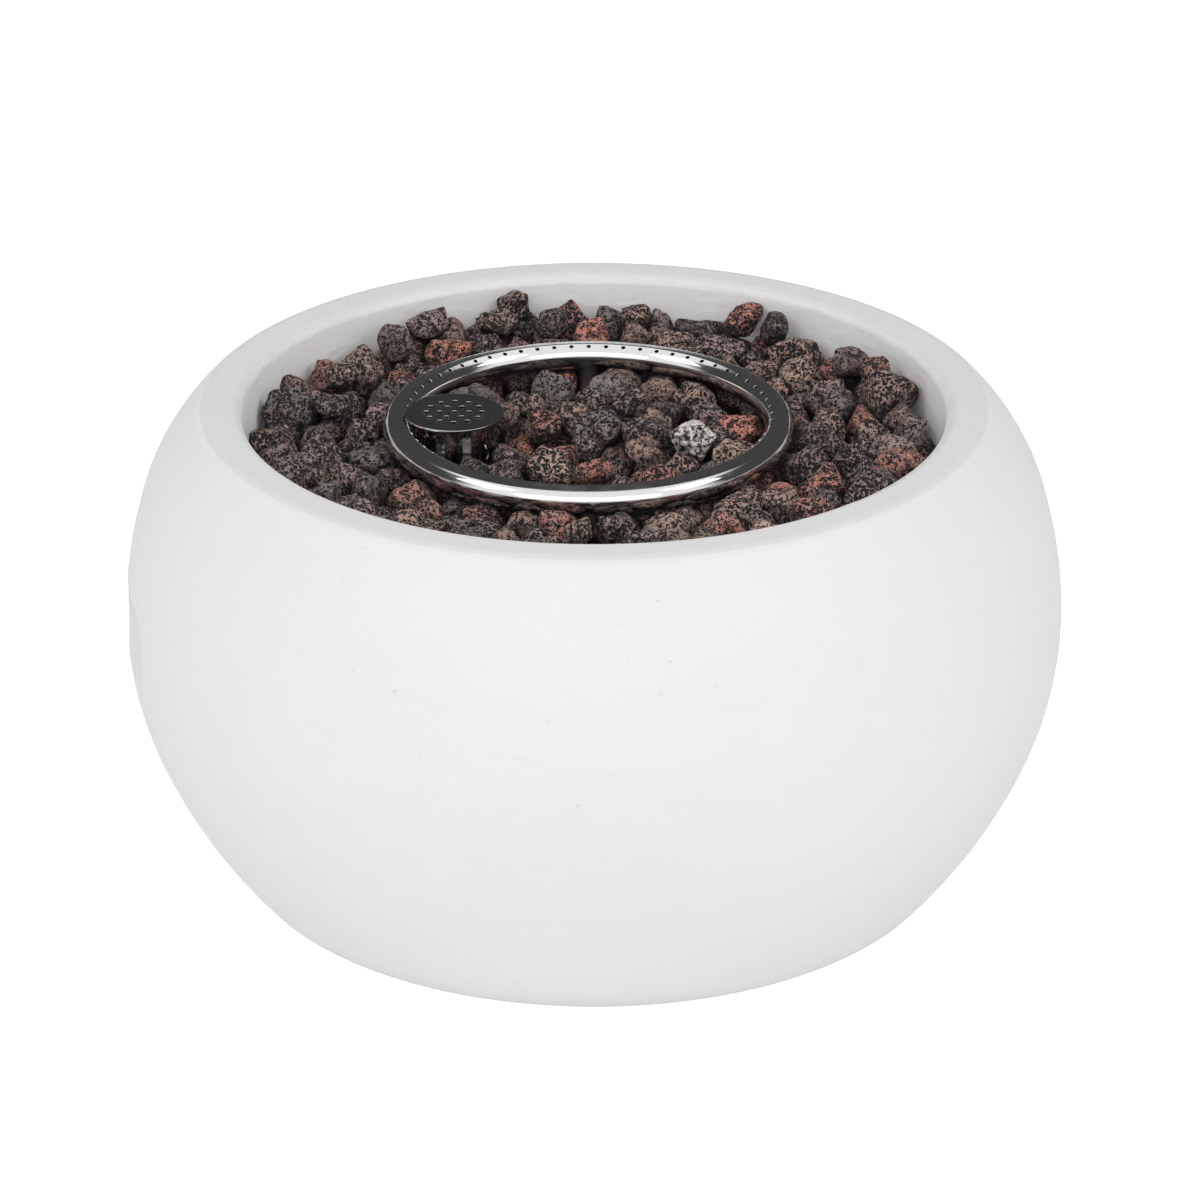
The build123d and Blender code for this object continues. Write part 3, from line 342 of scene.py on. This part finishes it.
# The rest of the tube is a plain grid, from the ports down round the tube and over the land, with close rows
# at the two creases. The inside has every fourth row of it, the first and the last among them.
plain_along = np.linspace(0, 2 * math.pi, port_count * port_sides // 4 + 1) + math.pi / port_count
inner_crease = land_lean + land_edge + 2 * math.pi
outer_crease = land_lean - land_edge + 2 * math.pi
plain_stops = (
    (port_lean + port_span, 40),
    (outer_crease - crease_band, 8),
    (outer_crease + crease_band, 6),
    (inner_crease - crease_band, 8),
    (inner_crease + crease_band, 2),
    (port_lean - port_span + 2 * math.pi, 1),
)
plain_around = np.concatenate(
    [
        np.linspace(start, end, count, endpoint=False)
        for (start, count), (end, _) in zip(plain_stops, plain_stops[1:] + plain_stops[-1:])
    ]
)
for inset, rows in ((0, plain_around), (tube_wall, plain_around[::4])):
    around_grid, along_grid = np.meshgrid(rows, plain_along, indexing="ij")
    ring_skins.append(ring_surface(along_grid, around_grid, inset))
ring_quads = [grid_faces(*skin.shape[:2]) for skin in ring_skins]
ring_points, ring_faces = join_surfaces([skin.reshape(-1, 3) for skin in ring_skins], ring_quads)
steel_finish = plain_finish("polished_stainless", colour=(0.76, 0.755, 0.745), roughness=0.1, metallic=1.0)
vary_roughness(steel_finish, scale=90, low=0.07, high=0.15)
steel_lines = noise(steel_finish, scale=260, stretch=(1, 1, 9), Detail=3)
raise_surface(steel_finish, steel_lines, distance=0.03 * mm, strength=0.2)
ring = piece("ring_tube", ring_points, ring_faces, steel_finish, "fire_pit", "stainless")
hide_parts("burner_ring")
dress(pan_finish, "burner_feed_bar")

# Air mixer, hub nut and jet: a cast aluminium mixing tube screwed to the burner's hub under the pan, the
# steel nut that clamps the hub to the pan, and the turned brass jet that feeds the tube.
cast_finish = plain_finish("cast_aluminium", colour=(0.55, 0.55, 0.56), roughness=0.45, metallic=1.0)
cast_grain = noise(cast_finish, scale=600, Detail=2)
raise_surface(cast_finish, cast_grain, distance=0.15 * mm, strength=0.4)
vary_roughness(cast_finish, scale=120, low=0.38, high=0.55)
bolt_finish = plain_finish("bolt_steel", colour=(0.62, 0.62, 0.62), roughness=0.32, metallic=1.0)
vary_roughness(bolt_finish, scale=300, low=0.24, high=0.42)
brass_finish = plain_finish("machined_brass", colour=(0.72, 0.52, 0.22), roughness=0.28, metallic=1.0)
vary_roughness(brass_finish, scale=240, low=0.2, high=0.4)
turning_lines = noise(brass_finish, scale=300, stretch=(1, 8, 1), Detail=2)
raise_surface(brass_finish, turning_lines, distance=0.05 * mm, strength=0.3)
dress(cast_finish, "air_mixer")
dress(bolt_finish, "hub_nut")
dress(brass_finish, "gas_jet")

# Igniter guard: a slotted steel sleeve screwed to the pan, under a perforated cap, darkened by the flames.
# Inside it a bracket carries the spark rod in its ceramic tube and the flame probe.
guard_finish = plain_finish("smoked_stainless", colour=(0.46, 0.455, 0.45), roughness=0.13, metallic=1.0)
vary_roughness(guard_finish, scale=70, low=0.09, high=0.2)
soften_edges(guard_finish, radius=0.7 * mm)
smoke = noise(guard_finish, scale=160, Detail=3)
raise_surface(guard_finish, smoke, distance=0.06 * mm, strength=0.3)
ceramic_finish = plain_finish("white_ceramic", colour=(0.86, 0.85, 0.81), roughness=0.45)
vary_roughness(ceramic_finish, scale=200, low=0.35, high=0.6)
dress(guard_finish, "igniter_guard", "guard_cap")
dress(bolt_finish, "guard_screws", "sensor_bracket", "spark_rod", "flame_probe")
dress(ceramic_finish, "electrode_insulator")

# Lava rock: loose lumps of porous stone, charcoal, plum, brown and brick red, piled around the burner.
# Each lump stands in the place of one of the part's solids, a little larger, and is chipped, knobbly and
# pitted by gas bubbles. One lump, inside the ring at its right, is grown more and has a whitish crust.
# Their colours carry painted shade low down, in pits, hollows and crevices, and painted highlights round the
# bubbles.
rock_tones = np.array(
    (
        (0.2, 0.18, 0.177),
        (0.13, 0.12, 0.12),
        (0.36, 0.25, 0.235),
        (0.45, 0.275, 0.215),
        (0.54, 0.205, 0.16),
        (0.7, 0.24, 0.175),
        (0.56, 0.37, 0.28),
    )
)
rock_shares = np.array((0.14, 0.06, 0.31, 0.24, 0.14, 0.05, 0.06))
rock_tone_range = (0.75, 1.3)
rock_dust = (0.42, 0.31, 0.28)
# Painted highlight: a lighter tint round the open bubbles.
rock_bubble_rim_painted_highlight = (0.74, 0.58, 0.52)
rock_crust = (0.84, 0.83, 0.81)
# Painted shade: almost black inside the open bubbles and cavities.
rock_hollow_painted_shade = (0.012, 0.01, 0.01)
# Painted shade in the crevices between lumps, and how far round the shade looks.
rock_crevice_painted_shade = (0.008, 0.007, 0.007)
rock_crevice_shade_reach = 12 * mm
rock_cell = 1.3 * mm
rock_cells_fewest = 8
rock_cells_most = 30
rock_edge = 30
rock_swell = 1.09
wall_swell = 1.25
wall_near = (190 * mm, 225 * mm)
rock_chips = 8
rock_chip_range = (0.62, 1.05)
rock_stretch = 0.3
rock_knobs = 0.1
rock_crumbs = 0.35 * rock_knobs
rock_pits = 30
rock_pit_millimetres = (1.4, 3.2)
rock_pit_depth = 0.9
rock_pit_shade = 0.6
rock_pit_shade_millimetres = 1.2
rock_light_middle = 0.62
rock_light_rise = 1.2
rock_shadow = 0.18
rock_porosity_range = (0.45, 0.92)
rocks_per_piece = 33
crusted_place = (74 * mm, -12 * mm)
crusted_radius = 15 * mm
crusted_depth = 25 * mm
crusted_growth = 1.32
crusted_porosity = 0.35
dice = np.random.default_rng(5)


def ball_grid(cells):
    """Directions over a ball: a square grid on each face of a cube, bent evenly, with its quads."""
    step = np.tan(np.linspace(-1, 1, cells + 1) * math.pi / 4)
    across, up = np.meshgrid(step, step)
    flat = np.stack((across.ravel(), up.ravel(), np.ones(across.size)), axis=1)
    sides = [np.roll(flat * sign, shift, axis=1) for shift in range(3) for sign in ((1, 1, 1), (-1, 1, -1))]
    points, quads = join_surfaces(sides, [grid_faces(cells + 1, cells + 1)] * len(sides))
    points /= np.linalg.norm(points, axis=1, keepdims=True)
    keys, back = np.unique(np.round(points, 6), axis=0, return_inverse=True)
    return keys / np.linalg.norm(keys, axis=1, keepdims=True), back.ravel()[quads]


def separate_lumps(mesh):
    """Splits a solid's loose triangles into lumps.
    Corners that share a triangle take the lowest label there, again and again until none changes."""
    mesh.calc_loop_triangles()
    corners = np.empty(len(mesh.vertices) * 3)
    mesh.vertices.foreach_get("co", corners)
    triangles = np.empty(len(mesh.loop_triangles) * 3, dtype=int)
    mesh.loop_triangles.foreach_get("vertices", triangles)
    corners, back = np.unique(np.round(corners.reshape(-1, 3), 6), axis=0, return_inverse=True)
    triangles = back.ravel()[triangles].reshape(-1, 3)
    label = np.arange(len(corners))
    while True:
        lowest = label[triangles].min(axis=1)
        spread = label.copy()
        np.minimum.at(spread, triangles.ravel(), np.repeat(lowest, 3))
        if np.array_equal(spread, label):
            break
        label = spread
    return [corners[triangles[label[triangles[:, 0]] == first]] for first in np.unique(label)]


def random_aims(count):
    """Directions spread at random over a ball."""
    aims = dice.normal(0, 1, (count, 3))
    return aims / np.linalg.norm(aims, axis=1, keepdims=True)


def ripples(aims, count, slowest, fastest):
    """Sum of waves across a ball, the slower ones stronger, about 1 at its most."""
    waves = random_aims(count).T * dice.uniform(slowest, fastest, count)
    weight = 1 / np.linalg.norm(waves, axis=0)
    heights = np.sin(aims @ waves + dice.uniform(0, 2 * math.pi, count))
    peak = 1.6 * math.sqrt(np.sum(weight**2))
    return heights @ weight / peak


def rock_surface(flats, aims, grown):
    """Skin of one lump, and how deep its pits are there in millimetres.
    Its reach along each aim is the solid's, softened at the edges by a power mean over the flats and some
    chips, then swelled, most by the wall, drawn out one way, made knobbly by sums of waves, and pitted."""
    centre = flats.reshape(-1, 3).mean(axis=0)
    normal = np.cross(flats[:, 1] - flats[:, 0], flats[:, 2] - flats[:, 0])
    normal /= np.linalg.norm(normal, axis=1, keepdims=True) + 1e-12
    depth = np.sum(normal * (flats[:, 0] - centre), axis=1)
    normal *= np.sign(depth)[:, None]
    depth = np.maximum(np.abs(depth), 1 * mm)
    chip_normal = random_aims(rock_chips)
    chip_depth = np.mean(depth) * dice.uniform(*rock_chip_range, rock_chips)
    normal = np.vstack((normal, chip_normal))
    depth = np.append(depth, chip_depth)
    closeness = np.maximum(aims @ normal.T, 0) / depth
    swell = np.interp(math.hypot(centre[0], centre[1]), wall_near, (rock_swell, wall_swell))
    reach = grown * swell * np.sum(closeness**rock_edge, axis=1) ** (-1 / rock_edge)
    size = reach.mean()
    drawn = (aims @ random_aims(1)[0]) ** 2 - 1 / 3
    reach = reach * (1 + dice.uniform(0, rock_stretch) * drawn)
    knobs = rock_knobs * ripples(aims, count=12, slowest=1.6, fastest=5.0)
    crumbs = rock_crumbs * ripples(aims, count=40, slowest=8, fastest=22)
    reach = reach * (1 + knobs + crumbs)
    pit_width = dice.uniform(*rock_pit_millimetres, rock_pits) * mm / size
    apart = np.arccos(np.clip(aims @ random_aims(rock_pits).T, -1, 1)) / pit_width
    dent = np.max(np.maximum(1 - apart**2, 0) * pit_width, axis=1)
    return centre + aims * (reach - rock_pit_depth * size * dent)[:, None], dent * size / mm


rock_finish = plain_finish("lava_rock", colour=(0.15, 0.12, 0.12), roughness=0.93)
rock_nodes = rock_finish.node_tree.nodes
rock_links = rock_finish.node_tree.links
# The lumps' own tones with painted shade in them, and their porosity in alpha.
rock_colour_and_painted_shade = rock_nodes.new("ShaderNodeAttribute")
rock_colour_and_painted_shade.attribute_name = "rock_colour_and_painted_shade"


def open_bubbles(scale, widest):
    """Gas bubbles cut open by the surface, of random widths that grow with the rock's own porosity.
    The value is negative inside a bubble and positive outside."""
    cells = pattern(rock_finish, "ShaderNodeTexVoronoi", scale, Randomness=1)
    chance = rock_nodes.new("ShaderNodeSeparateColor")
    rock_links.new(cells.outputs["Color"], chance.inputs["Color"])
    width = combine(rock_finish, "MULTIPLY", chance.outputs["Red"], widest)
    width = combine(rock_finish, "MULTIPLY", width, rock_colour_and_painted_shade.outputs["Alpha"])
    return combine(rock_finish, "SUBTRACT", cells.outputs["Distance"], width)


large_bubbles = open_bubbles(scale=330, widest=0.7)
small_bubbles = open_bubbles(scale=620, widest=1.15)
bubbles = combine(rock_finish, "MINIMUM", large_bubbles, small_bubbles)
specks = noise(rock_finish, scale=700, Detail=3, Roughness=0.7)
dust = noise(rock_finish, scale=75, Detail=5, Roughness=0.7)
cavities = noise(rock_finish, scale=230, Detail=4, Roughness=0.62)
beside_cavity = between(rock_finish, cavities, low=0.35, high=0.46)
beside_bubble = between(rock_finish, bubbles, low=-0.05, high=0.07)
unbroken = combine(rock_finish, "MULTIPLY", beside_bubble, beside_cavity)
# Painted shade: an ambient occlusion node darkens the rock where other surfaces close round it.
around_rock = rock_nodes.new("ShaderNodeAmbientOcclusion")
around_rock.samples = 6
around_rock.inputs["Distance"].default_value = rock_crevice_shade_reach
openness = between(rock_finish, around_rock.outputs["AO"], low=0.27, high=0.85)
# Painted highlight on the rims of the open bubbles.
bubble_rim_painted_highlight = between(rock_finish, bubbles, low=0.3, high=0.08, first=0.0, last=0.42)
raised_specks = between(rock_finish, specks, low=0.52, high=0.72)
dusty = between(rock_finish, dust, low=0.5, high=0.78)
crust = combine(
    rock_finish,
    "MULTIPLY",
    between(rock_finish, rock_colour_and_painted_shade.outputs["Alpha"], low=0.4, high=crusted_porosity),
    between(rock_finish, cavities, low=0.44, high=0.56),
)
rock_tone = blend_colours(rock_finish, dusty, rock_colour_and_painted_shade.outputs["Color"], rock_dust)
rock_tone = blend_colours(rock_finish, bubble_rim_painted_highlight, rock_tone, rock_bubble_rim_painted_highlight)
rock_tone = blend_colours(rock_finish, crust, rock_tone, rock_crust)
# Painted shade: the open bubbles and cavities are painted almost black.
rock_tone = blend_colours(rock_finish, unbroken, rock_hollow_painted_shade, rock_tone)
rock_tone = blend_colours(rock_finish, openness, rock_crevice_painted_shade, rock_tone)
feed(rock_finish, rock_tone, "Base Color")
raise_surface(rock_finish, cavities, distance=5 * mm, strength=0.8)
raise_surface(rock_finish, unbroken, distance=1.6 * mm, strength=1.0)
raise_surface(rock_finish, raised_specks, distance=0.6 * mm, strength=0.8)

ball_grids = {cells: ball_grid(cells) for cells in range(rock_cells_fewest, rock_cells_most + 1, 2)}


def rock_piece(name, lumps):
    """One piece of the rock bed: its lumps, each with a tone of its own.
    The tone carries painted shade, darker in the pits and low down, and the colour's alpha holds the lump's
    porosity."""
    skins = []
    quads = []
    tones = []
    for flats in lumps:
        place = flats.reshape(-1, 3).mean(axis=0)
        spread = np.linalg.norm(flats.reshape(-1, 3) - place, axis=1).mean()
        half_cells = np.clip(math.pi / 4 * spread / rock_cell, rock_cells_fewest / 2, rock_cells_most / 2)
        aims, faces = ball_grids[2 * int(half_cells)]
        on_top = place[2] > ring_centre[2] - crusted_depth
        crusted = on_top and math.dist(place[:2], crusted_place) < crusted_radius
        skin, dents = rock_surface(flats, aims, crusted_growth if crusted else 1)
        tone = rock_tones[dice.choice(len(rock_tones), p=rock_shares)] * dice.uniform(*rock_tone_range)
        porosity = crusted_porosity if crusted else dice.uniform(*rock_porosity_range)
        # Painted shade: each lump's tone is darkened towards its bottom and in its pits.
        height = (skin[:, 2] - place[2]) / np.ptp(skin[:, 2])
        light = np.clip(rock_light_rise * height + rock_light_middle, rock_shadow, 1)
        pit_light = 1 - rock_pit_shade * np.minimum(dents / rock_pit_shade_millimetres, 1)
        shade = tone * (light * pit_light)[:, None]
        skins.append(skin)
        quads.append(faces)
        tones.append(np.column_stack((shade, np.full(len(shade), porosity))))
    rock = piece(name, *join_surfaces(skins, quads), rock_finish, "fire_pit", "lava_rock")
    layer = rock.data.color_attributes.new("rock_colour_and_painted_shade", "FLOAT_COLOR", "POINT")
    layer.data.foreach_set("color", np.vstack(tones).ravel())
    return rock


for bed in ("inner", "back_left", "back_right", "front_left", "front_right"):
    bed_lumps = separate_lumps(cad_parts["lava_rock_" + bed].data)
    for number, first in enumerate(range(0, len(bed_lumps), rocks_per_piece)):
        rock = rock_piece(f"rocks_{bed}_{number}", bed_lumps[first:first + rocks_per_piece])
        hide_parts("lava_rock_" + bed)

# Control panel: a brushed plate screwed into the recess at the back, with a push-and-turn gas knob and
# a push-button igniter, both moulded in black plastic. A white line painted on the knob shows its turn.
panel_finish = plain_finish("brushed_panel", colour=(0.6, 0.6, 0.6), roughness=0.3, metallic=1.0)
panel_lines = noise(panel_finish, scale=400, stretch=(0.02, 1, 1), Detail=2)
raise_surface(panel_finish, panel_lines, distance=0.05 * mm, strength=0.4)
vary_roughness(panel_finish, scale=260, low=0.24, high=0.38, stretch=(0.05, 1, 1))
plastic_black = (0.018, 0.018, 0.019)
pointer_white = (0.75, 0.75, 0.73)
pointer_width = 1.8 * mm
pointer_start = 5 * mm
pointer_blur = 0.1


def moulded_plastic(name):
    """Black plastic with the fine grain of its mould."""
    material = plain_finish(name, plastic_black, roughness=0.42)
    vary_roughness(material, scale=320, low=0.36, high=0.5)
    plastic_grain = noise(material, scale=1500, Detail=2)
    raise_surface(material, plastic_grain, distance=0.08 * mm, strength=0.3)
    return material


plastic_finish = moulded_plastic("black_plastic")
knob_finish = moulded_plastic("black_plastic_with_pointer")
knob_centre = np.mean(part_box("control_knob"), axis=0)
knob_x, _, knob_z = own_axes(knob_finish)
aside = combine(knob_finish, "SUBTRACT", knob_x, float(knob_centre[0]))
aside_squared = combine(knob_finish, "MULTIPLY", aside, aside)
edge_squared = (pointer_width / 2) ** 2
pointer_low = knob_centre[2] + pointer_start
pointer_high = knob_centre[2] + (1 + pointer_blur / 2) * pointer_start
pointer_line = combine(
    knob_finish,
    "MULTIPLY",
    between(knob_finish, aside_squared, (1 + pointer_blur) * edge_squared, (1 - pointer_blur) * edge_squared),
    between(knob_finish, knob_z, pointer_low, pointer_high),
)
knob_tone = blend_colours(knob_finish, pointer_line, plastic_black, pointer_white)
feed(knob_finish, knob_tone, "Base Color")
battery_finish = plain_finish("battery_sleeve", colour=(0.05, 0.05, 0.055), roughness=0.25)
vary_roughness(battery_finish, scale=200, low=0.2, high=0.34)
dress(panel_finish, "control_panel")
dress(bolt_finish, "panel_screws", "valve_screws", "valve_stem")
dress(plastic_finish, "igniter_housing", "igniter_nut", "igniter_button")
dress(knob_finish, "control_knob")
dress(battery_finish, "battery")

# Springs: steel wire wound into a coil, one behind the valve's thrust cup and one behind the igniter button.
spring_wire = 1 * mm
spring_steps = 24
spring_sides = 10


def wound_spring(name, node, turns):
    """Round wire wound along +Y to fill a node's box.
    Its path is a helix of even pitch, and the wire closes to a point at both ends."""
    low, high = (np.array(corner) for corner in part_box(node))
    centre = (low + high) / 2
    length = high[1] - low[1]
    winding = np.linspace(0, 2 * math.pi * turns, spring_steps * turns + 1)
    winding = np.concatenate((winding[:1], winding, winding[-1:]))[:, None]
    thickness = np.full_like(winding, spring_wire / 2)
    thickness[[0, -1]] = 0
    section = np.linspace(0, 2 * math.pi, spring_sides + 1)
    reach = (high[0] - low[0] - spring_wire) / 2 + thickness * np.cos(section)
    rise = (length - spring_wire) * (winding / winding.max() - 0.5) + thickness * np.sin(section)
    points = centre + np.stack((reach * np.cos(winding), rise, reach * np.sin(winding)), axis=-1)
    faces = grid_faces(len(winding), spring_sides + 1)
    spring = piece(name, points.reshape(-1, 3), faces, bolt_finish, "fire_pit", "fastener_steel")
    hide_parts(node)
    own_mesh(spring)


wound_spring("valve_coil", "valve_spring", turns=4)
wound_spring("button_coil", "button_spring", turns=2)

# Gas train: a die-cast valve behind the panel, pipes of soft bent aluminium held by brass nuts, and the brass
# inlet for the hose. A spark lead in a dark silicone sleeve and a bare probe lead go up to the guard.
lead_finish = plain_finish("silicone_lead", colour=(0.03, 0.028, 0.028), roughness=0.6)
vary_roughness(lead_finish, scale=150, low=0.5, high=0.72)
pipe_finish = plain_finish("soft_aluminium", colour=(0.62, 0.62, 0.63), roughness=0.36, metallic=1.0)
vary_roughness(pipe_finish, scale=110, low=0.28, high=0.46)
dress(cast_finish, "valve_body")
dress(pipe_finish, "inlet_pipe", "supply_pipe")
dress(brass_finish, "gas_inlet_fitting", "inlet_nut", "pipe_nuts")
dress(brass_finish, "safety_magnet", "thrust_cup", "probe_lead")
dress(lead_finish, "spark_lead")

# Floor and light: a white studio floor and backdrop, and three soft boxes in front and at the sides. Polished
# metal mirrors a studio that is white overhead and in front, and dark near the horizon behind the bowl.
floor_reach = 40.0
floor_white = (0.75, 0.75, 0.75)
floor_glow = (0.2, 0.55)
ambient = 0.56
studio_dark = 0.06
dark_until = math.sin(math.radians(43))
white_from = math.sin(math.radians(50))
front_white = (-0.15, -0.4)
lamp_target = (0, 0, 0.2)
world = bpy.data.worlds.new("studio")
bpy.context.scene.world = world
world.use_nodes = True
world_nodes = world.node_tree.nodes
world_links = world.node_tree.links
sky = world_nodes["Background"]
sky.inputs["Color"].default_value = (1, 1, 1, 1)


def seen_directly(owner):
    """1 for rays from the camera, from gloss and through glass, 0 for the rest."""
    path = owner.node_tree.nodes.new("ShaderNodeLightPath")
    seen = combine(owner, "MAXIMUM", path.outputs["Is Camera Ray"], path.outputs["Is Glossy Ray"])
    return combine(owner, "MAXIMUM", seen, path.outputs["Is Transmission Ray"])


sky_level = between(world, seen_directly(world), 0, 1, first=ambient)
sky_aim = world_nodes.new("ShaderNodeTexCoord")
sky_axes = world_nodes.new("ShaderNodeSeparateXYZ")
world_links.new(sky_aim.outputs["Generated"], sky_axes.inputs["Vector"])
white_above = between(world, sky_axes.outputs["Z"], dark_until, white_from, first=studio_dark)
white_in_front = between(world, sky_axes.outputs["Y"], *front_white, first=studio_dark)
mirrored = combine(world, "MAXIMUM", white_above, white_in_front)
sky_path = world_nodes.new("ShaderNodeLightPath")
sky_choice = world_nodes.new("ShaderNodeMix")
world_links.new(sky_path.outputs["Is Glossy Ray"], sky_choice.inputs["Factor"])
world_links.new(sky_level, sky_choice.inputs["A"])
world_links.new(mirrored, sky_choice.inputs["B"])
world_links.new(sky_choice.outputs["Result"], sky.inputs["Strength"])

floor_mesh = bpy.data.meshes.new("studio_floor")
floor_corners = floor_reach * np.array(((-1, -1, 0), (1, -1, 0), (1, 1, 0), (-1, 1, 0)))
floor_mesh.from_pydata(floor_corners.tolist(), [], [(0, 1, 2, 3)])
floor = bpy.data.objects.new("studio_floor", floor_mesh)
bpy.context.scene.collection.objects.link(floor)
floor_finish = plain_finish("studio_white", floor_white, roughness=1.0)
floor_shader = floor_finish.node_tree.nodes["Principled BSDF"]
floor_shader.inputs["Emission Color"].default_value = (1, 1, 1, 1)
floor_shader.inputs["Specular IOR Level"].default_value = 0
floor_level = between(floor_finish, seen_directly(floor_finish), 0, 1, *floor_glow)
feed(floor_finish, floor_level, "Emission Strength")
floor_mesh.materials.append(floor_finish)


def soft_box(name, place, width, height, power):
    """A rectangular lamp at a place, turned towards the bowl."""
    lamp = bpy.data.lights.new(name, "AREA")
    lamp.shape = "RECTANGLE"
    lamp.size = width
    lamp.size_y = height
    lamp.energy = power
    thing = bpy.data.objects.new(name, lamp)
    bpy.context.scene.collection.objects.link(thing)
    aim = np.array(lamp_target) - np.array(place)
    turn = math.atan2(aim[0], -aim[1])
    tilt = math.atan2(math.hypot(aim[0], aim[1]), -aim[2])
    thing.location = place
    thing.rotation_euler = (tilt, 0, turn + math.pi)


soft_box("front_soft_box", place=(0, -3.1, 2.05), width=5.0, height=1.4, power=39)
soft_box("left_soft_box", place=(-2.9, -1.0, 3.2), width=1.6, height=1.6, power=27)
soft_box("right_soft_box", place=(2.9, -1.0, 3.2), width=1.6, height=1.6, power=27)

# Camera: a long lens in front of the bowl and a little above it, which gives the photograph's viewing angle.
# It is level from side to side, and shifted a little to frame the bowl as the photograph does.
camera_place = (0, -3.184, 1.651)
camera_target = (0, 0, 0.1976)
camera = bpy.data.cameras.new("camera")
camera.sensor_width = 36
camera.lens = 139.6
camera.shift_x = 0.005
camera_object = bpy.data.objects.new("camera", camera)
bpy.context.scene.collection.objects.link(camera_object)
drop = camera_target[2] - camera_place[2]
run = camera_target[1] - camera_place[1]
camera_object.location = camera_place
camera_object.rotation_euler = (math.pi / 2 + math.atan2(drop, run), 0, 0)
bpy.context.scene.camera = camera_object
bpy.context.scene.view_settings.view_transform = "Standard"
